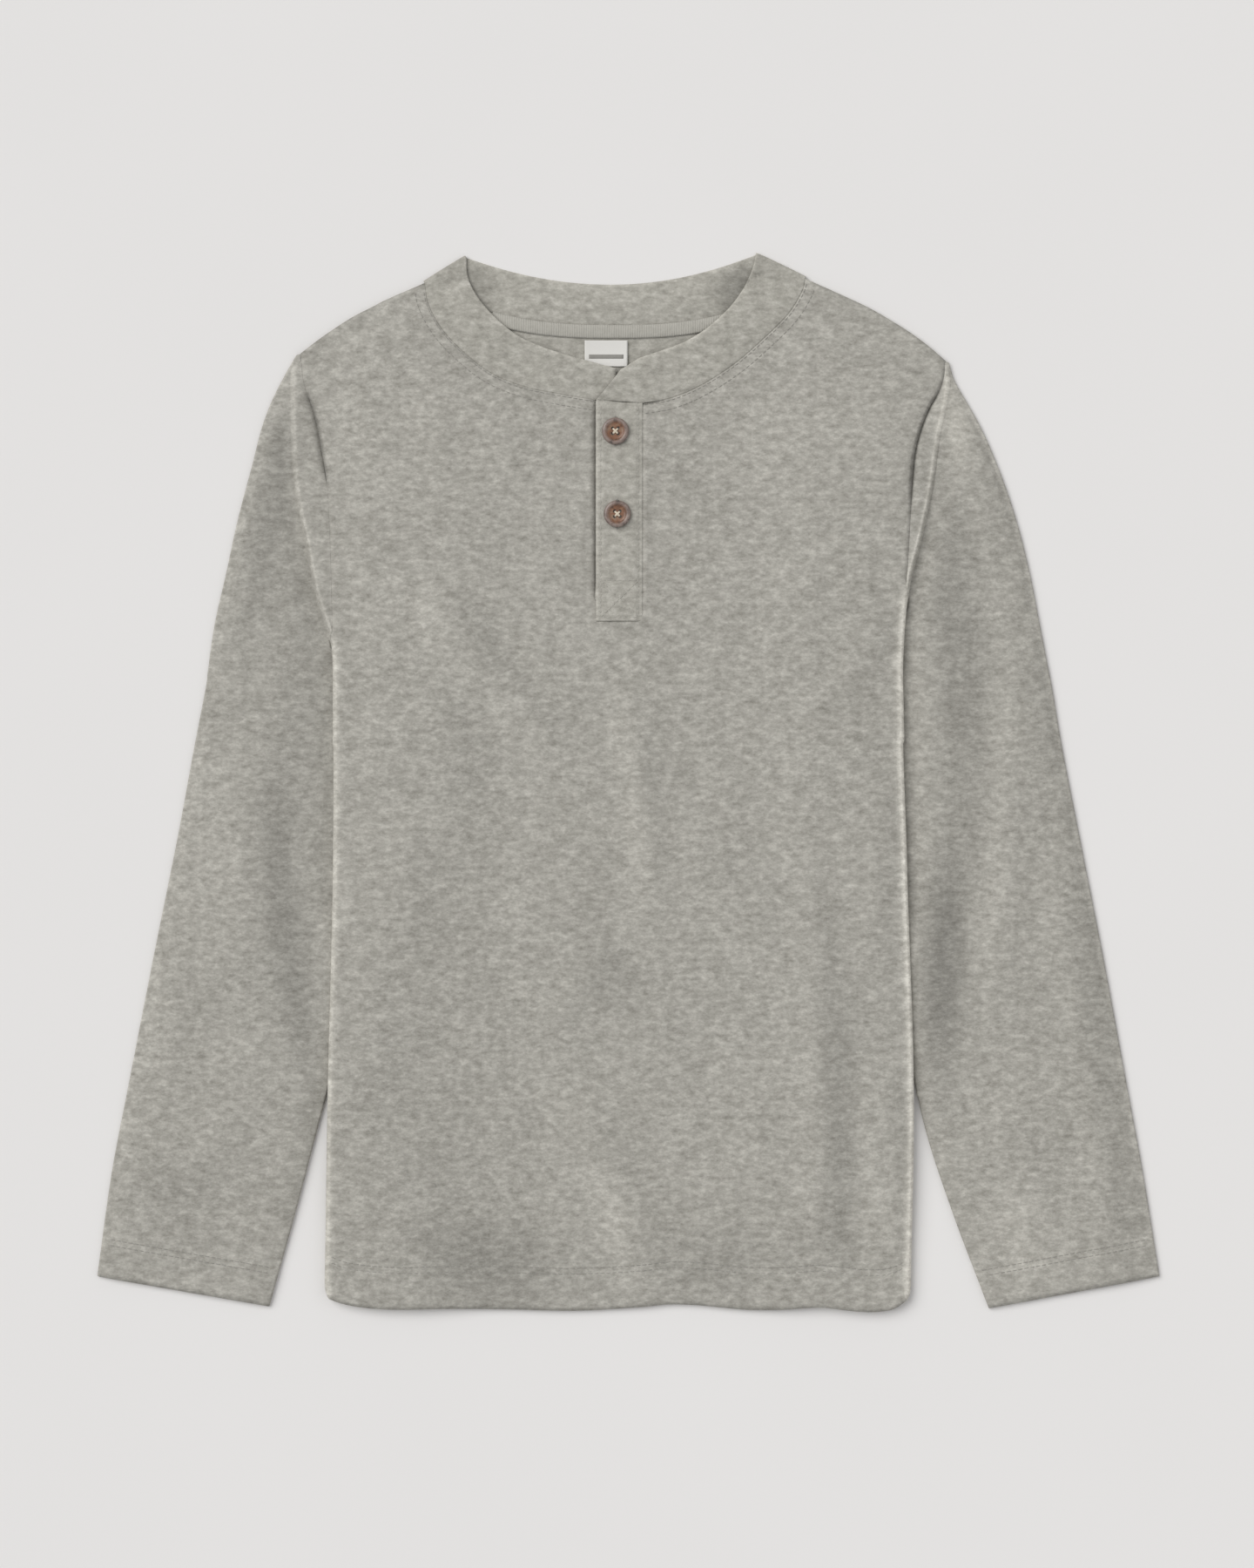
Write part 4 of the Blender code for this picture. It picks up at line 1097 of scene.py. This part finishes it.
def lathe(name, profile, sides):
    """A surface of revolution about Z, in millimetres, closed on a pole at each end.

    Each profile point (r, h) becomes a ring (r cos a, r sin a, h).
    """
    r, h = np.array(profile[1:-1]).T
    a = np.arange(sides) * 2 * math.pi / sides
    rings = np.stack((np.outer(r, np.cos(a)), np.outer(r, np.sin(a)), np.outer(h, np.ones(sides))), axis=-1)
    poles = np.array(((0.0, 0.0, profile[0][1]), (0.0, 0.0, profile[-1][1])))
    here = np.arange(len(r) * sides).reshape(len(r), sides)
    after = np.roll(here, -1, axis=1)
    quads = np.stack((here[:-1], here[1:], after[1:], after[:-1]), axis=-1).reshape(-1, 4)
    top = np.stack((here[0], after[0], np.full(sides, here.size)), axis=-1)
    bottom = np.stack((after[-1], here[-1], np.full(sides, here.size + 1)), axis=-1)
    return new_piece(name, np.concatenate((rings.reshape(-1, 3), poles)),
                     quads.tolist() + top.tolist() + bottom.tolist())


def make_button(name, centre, material):
    """A turned button: a profile of arcs carried round its axis, with a sunk middle and four holes.

    Its section runs out from the middle of the face, up over a rounded rim, round the edge
    and back under to the middle.
    """
    base = button_base(centre)
    face = ((0.0, 1.35), (2.6, 1.4), (3.9, 1.55), (4.6, 2.0), (5.2, 2.3), (5.9, 2.35), (6.5, 2.1),
            (6.9, 1.6), (7.0, 1.1), (6.8, 0.5), (6.2, 0.1), (5.2, 0.0), (0.0, 0.0))
    last = len(face) - 1
    profile = flow(np.linspace(0, last, 5 * last + 1), np.arange(last + 1), np.array(face))
    button = lathe(name, profile, 64)
    for dx in (-HOLE_REACH, HOLE_REACH):
        for dy in (-HOLE_REACH, HOLE_REACH):
            cut_hole(button, dx, dy)
    place = np.zeros(len(button.data.vertices) * 3)
    button.data.vertices.foreach_get("co", place)
    place = place.reshape(-1, 3)
    # The outer ring is greyer and paler: a share rising from 3.6 mm out towards the edge.
    rim_share = button.data.attributes.new("rim", "FLOAT", "POINT")
    out = np.hypot(place[:, 0], place[:, 1])
    rim_share.data.foreach_set("value", smooth((out - 3.6) / 2.6).astype(np.float32))
    place = (place + np.array((centre[0], centre[1], base)) + SHIFT) * MM
    button.data.vertices.foreach_set("co", place.ravel())
    button.data.shade_smooth()
    button.data.set_sharp_from_angle(angle=math.radians(50))
    button.data.materials.clear()
    button.data.materials.append(material)
    return button


def cut_hole(button, dx, dy):
    """One sewing hole, right through the button."""
    drill = lathe("drill", ((0.0, 6.0), (HOLE_RADIUS, 6.0), (HOLE_RADIUS, -6.0), (0.0, -6.0)), 16)
    drill.data.transform(Matrix.Translation((dx, dy, 0.0)))
    hole = button.modifiers.new("hole", "BOOLEAN")
    hole.object = drill
    bpy.context.view_layer.update()
    made = bpy.data.meshes.new_from_object(button.evaluated_get(bpy.context.evaluated_depsgraph_get()))
    button.modifiers.clear()
    button.data = made
    bpy.data.objects.remove(drill)


def make_button_thread(name, centre, material):
    """Crossed cream thread through the four holes, three strands to each arm."""
    base = button_base(centre) + 1.45
    lines = []
    for sign in (-1, 1):
        for strand in (-0.22, 0.0, 0.22):
            t = np.linspace(-1, 1, 9)
            x, y = HOLE_REACH * t + strand * sign, HOLE_REACH * t * sign - strand
            crossing = 0.18 * (1 - t ** 2) if sign > 0 else 0
            z = base + 0.34 * (1 - t ** 4) + crossing - 0.7 * np.abs(t) ** 12
            lines.append(np.stack((x + centre[0], y + centre[1], z), axis=-1))
    return tubes(name, lines, 0.2, material)


# ---- stitching
def make_buttonhole(name, centre, material):
    """Satin-stitched buttonhole, upright under the button: short bars across a narrow oval."""
    lines = []
    for t in np.linspace(0, 2 * math.pi, BUTTONHOLE_BARS, endpoint=False):
        y = centre[1] + BUTTONHOLE_SIZE[1] * math.sin(t)
        x = centre[0] + BUTTONHOLE_SIZE[0] * math.cos(t) * (1 if abs(math.sin(t)) < 0.97 else 0.6)
        out = np.array((math.cos(t) * 0.7, 0.25 * math.sin(t)))
        px = x + out[0] * np.linspace(-1, 1, 4)
        py = y + out[1] * np.linspace(-1, 1, 4)
        pz = upper_surface(px, py) + HALF + 0.08 * np.array((0.2, 1.0, 1.0, 0.2))
        lines.append(np.stack((px, py, pz), axis=-1))
    return tubes(name, lines, THREAD, material, sides=5)


def sewn_surface(x, y):
    """The front's outer face, where a thread sinks into it a little."""
    return front_surface(x, y) + HALF - 0.02


def make_hem_stitches(material):
    """Two rows of stitching along the hem."""
    x = np.linspace(edge_x(-250.0, -1) + 3.0, edge_x(-250.0, 1) - 3.0, 200)
    rows = [stitch_lines(np.column_stack((x, hem_y(x) + up)), HEM_STITCH, sewn_surface)
            for up in (HEM_DEPTH, HEM_DEPTH - ROW_GAP)]
    return tubes("hem_stitches", np.concatenate(rows), THREAD, material)


def make_neck_stitches(material):
    """Two rows of topstitch outside the front neck seam."""
    lines = []
    for table in (NECK_LEFT, NECK_RIGHT):
        dense = flow(np.linspace(0, 6.96, 120), np.arange(8), table[:, :4])
        along = np.gradient(dense[:, :2], axis=0)
        along /= np.linalg.norm(along, axis=1, keepdims=True)
        out = np.stack((along[:, 1], -along[:, 0]), axis=1)
        out *= np.sign(np.sum(out * (dense[:, :2] - dense[:, 2:]), axis=1, keepdims=True))
        for gap in (0.9, 5.4):
            place = dense[:, :2] + out * gap
            place = place[place[:, 1] < shoulder_y(place[:, 0]) - 1.0]
            lines.append(stitch_lines(place, NECK_STITCH, sewn_surface))
    return tubes("neck_topstitches", np.concatenate(lines), THREAD, material)


def make_cuff_stitches(name, side, points, material):
    """Two rows of stitching round the upper face of a cuff, following the sleeve's own points."""
    gap = cuff_distance(points[:, :, 0], points[:, :, 1], side)
    lines = []
    for up in (CUFF_DEPTH, CUFF_DEPTH - ROW_GAP):
        path = []
        for j in range(33, points.shape[1] - 8):
            order = np.argsort(gap[-60:, j])
            path.append([np.interp(up, gap[-60:, j][order], points[-60:, j, k][order]) for k in range(3)])
        path = np.array(path) + np.array((0.0, 0.0, HALF - 0.02))
        lines.append(stitch_lines(path, HEM_STITCH, margins=(1.0, 3.0)))
    return tubes(name, np.concatenate(lines), THREAD, material)


def make_placket_stitches(material):
    """Topstitch down both edges of the placket, round the box and across it."""
    a, b = PLACKET_X[0] + STITCH_INSET, PLACKET_X[1] - STITCH_INSET
    low, top = PLACKET_BOTTOM + 2.0, 195.0
    paths = [((a, top), (a, low)), ((b, top), (b, low)), ((a, low), (b, low)), ((a, BOX_TOP), (b, BOX_TOP)),
             ((a, low), (b, BOX_TOP)), ((a, BOX_TOP), (b, low))]
    lines = [stitch_lines(np.linspace(start, end, 120), PLACKET_STITCH,
                          lambda x, y: upper_surface(x, y) + HALF) for start, end in paths]
    return tubes("placket_stitches", np.concatenate(lines), 0.18, material)


# ---- stage
def make_stage():
    """Pale board, one large soft light high at the upper left, a broad fill and an even sky."""
    corners = np.array(((-3.0, -3.0, 0.0), (3.0, -3.0, 0.0), (3.0, 3.0, 0.0), (-3.0, 3.0, 0.0)))
    new_piece("board", corners, [(0, 1, 2, 3)], floor_material())
    for name, towards, angle, strength in (
            ("key", (0.58, -0.36, -0.76), 50.0, 2.05),
            ("fill", (-0.6, 0.1, -0.8), 80.0, 0.46)):
        lamp = bpy.data.lights.new(name, "SUN")
        lamp.angle = math.radians(angle)
        lamp.energy = strength
        light = bpy.data.objects.new(name, lamp)
        light.location = -Vector(towards)
        light.rotation_euler = Vector(towards).to_track_quat("-Z", "Y").to_euler()
        SCENE.collection.objects.link(light)
    world = bpy.data.worlds.new("studio")
    world.use_nodes = True
    sky = world.node_tree.nodes["Background"]
    sky.inputs["Color"].default_value = srgb("F4F5F7")
    sky.inputs["Strength"].default_value = 0.43
    SCENE.world = world
    SCENE.view_settings.view_transform = "Standard"


def make_camera():
    """Straight down from a long way off, the neck at the top."""
    view_height = 0.810     # of the board, at the height of the cloth
    cloth_height = 0.006
    lens, sensor = 100.0, 36.0
    lens_data = bpy.data.cameras.new("camera")
    lens_data.lens = lens
    lens_data.sensor_width = sensor
    camera = bpy.data.objects.new("camera", lens_data)
    camera.location = (-0.0007, -0.0014, view_height * lens / sensor + cloth_height)
    SCENE.collection.objects.link(camera)
    SCENE.camera = camera


def settle(piece, node):
    """Put a piece under the one body, and hide the CAD part that it stands for, if any."""
    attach(piece, "root")
    if node:
        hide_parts(node)
    return piece


def main():
    make_camera()
    make_stage()
    body = knit_material("brushed_heather_knit", "85827A", "A4A199", "C3C0B7")
    inside = knit_material("heather_knit_inside", "89867E", "A9A69D", "C6C3BA")
    trim = knit_material("heather_knit_trim", "88857D", "A7A49B", "C4C1B8")
    seam_thread = thread_material("seam_thread", "94918A")
    trim_thread = thread_material("placket_thread", "B5B2A9")
    cream_thread = thread_material("button_thread", "D9CDB8")
    bar_thread = thread_material("label_bar_thread", "8E8B85")
    horn = button_material()

    front = settle(make_front(body), "front")
    back = settle(make_back(inside), "back")
    for side, name in ((-1, "sleeve_left"), (1, "sleeve_right")):
        piece, points = make_sleeve(f"{name}_cloth", side, body)
        settle(piece, name)
        cuff = settle(make_cuff_stitches(f"{name}_cuff_stitches", side, points, seam_thread), None)
    band = settle(make_neckband(trim), "neckband")
    upper = settle(make_placket_upper(trim), "placket_upper")
    under = settle(make_placket_under(trim), "placket_under")
    tape = settle(make_tape(tape_material()), "neck_tape")
    label = settle(make_label(label_material()), "label")
    bar = settle(make_label_bar(bar_thread), None)
    hem = settle(make_hem_stitches(seam_thread), None)
    neck = settle(make_neck_stitches(seam_thread), None)
    sewn = [settle(make_placket_stitches(trim_thread), None)]
    for name, centre in BUTTON_CENTRES.items():
        settle(make_button(f"{name}_turned", centre, horn), name)
        settle(make_button_thread(f"{name}_thread", centre, cream_thread), None)
        sewn.append(settle(make_buttonhole(f"{name}_buttonhole", centre, seam_thread), None))


main()
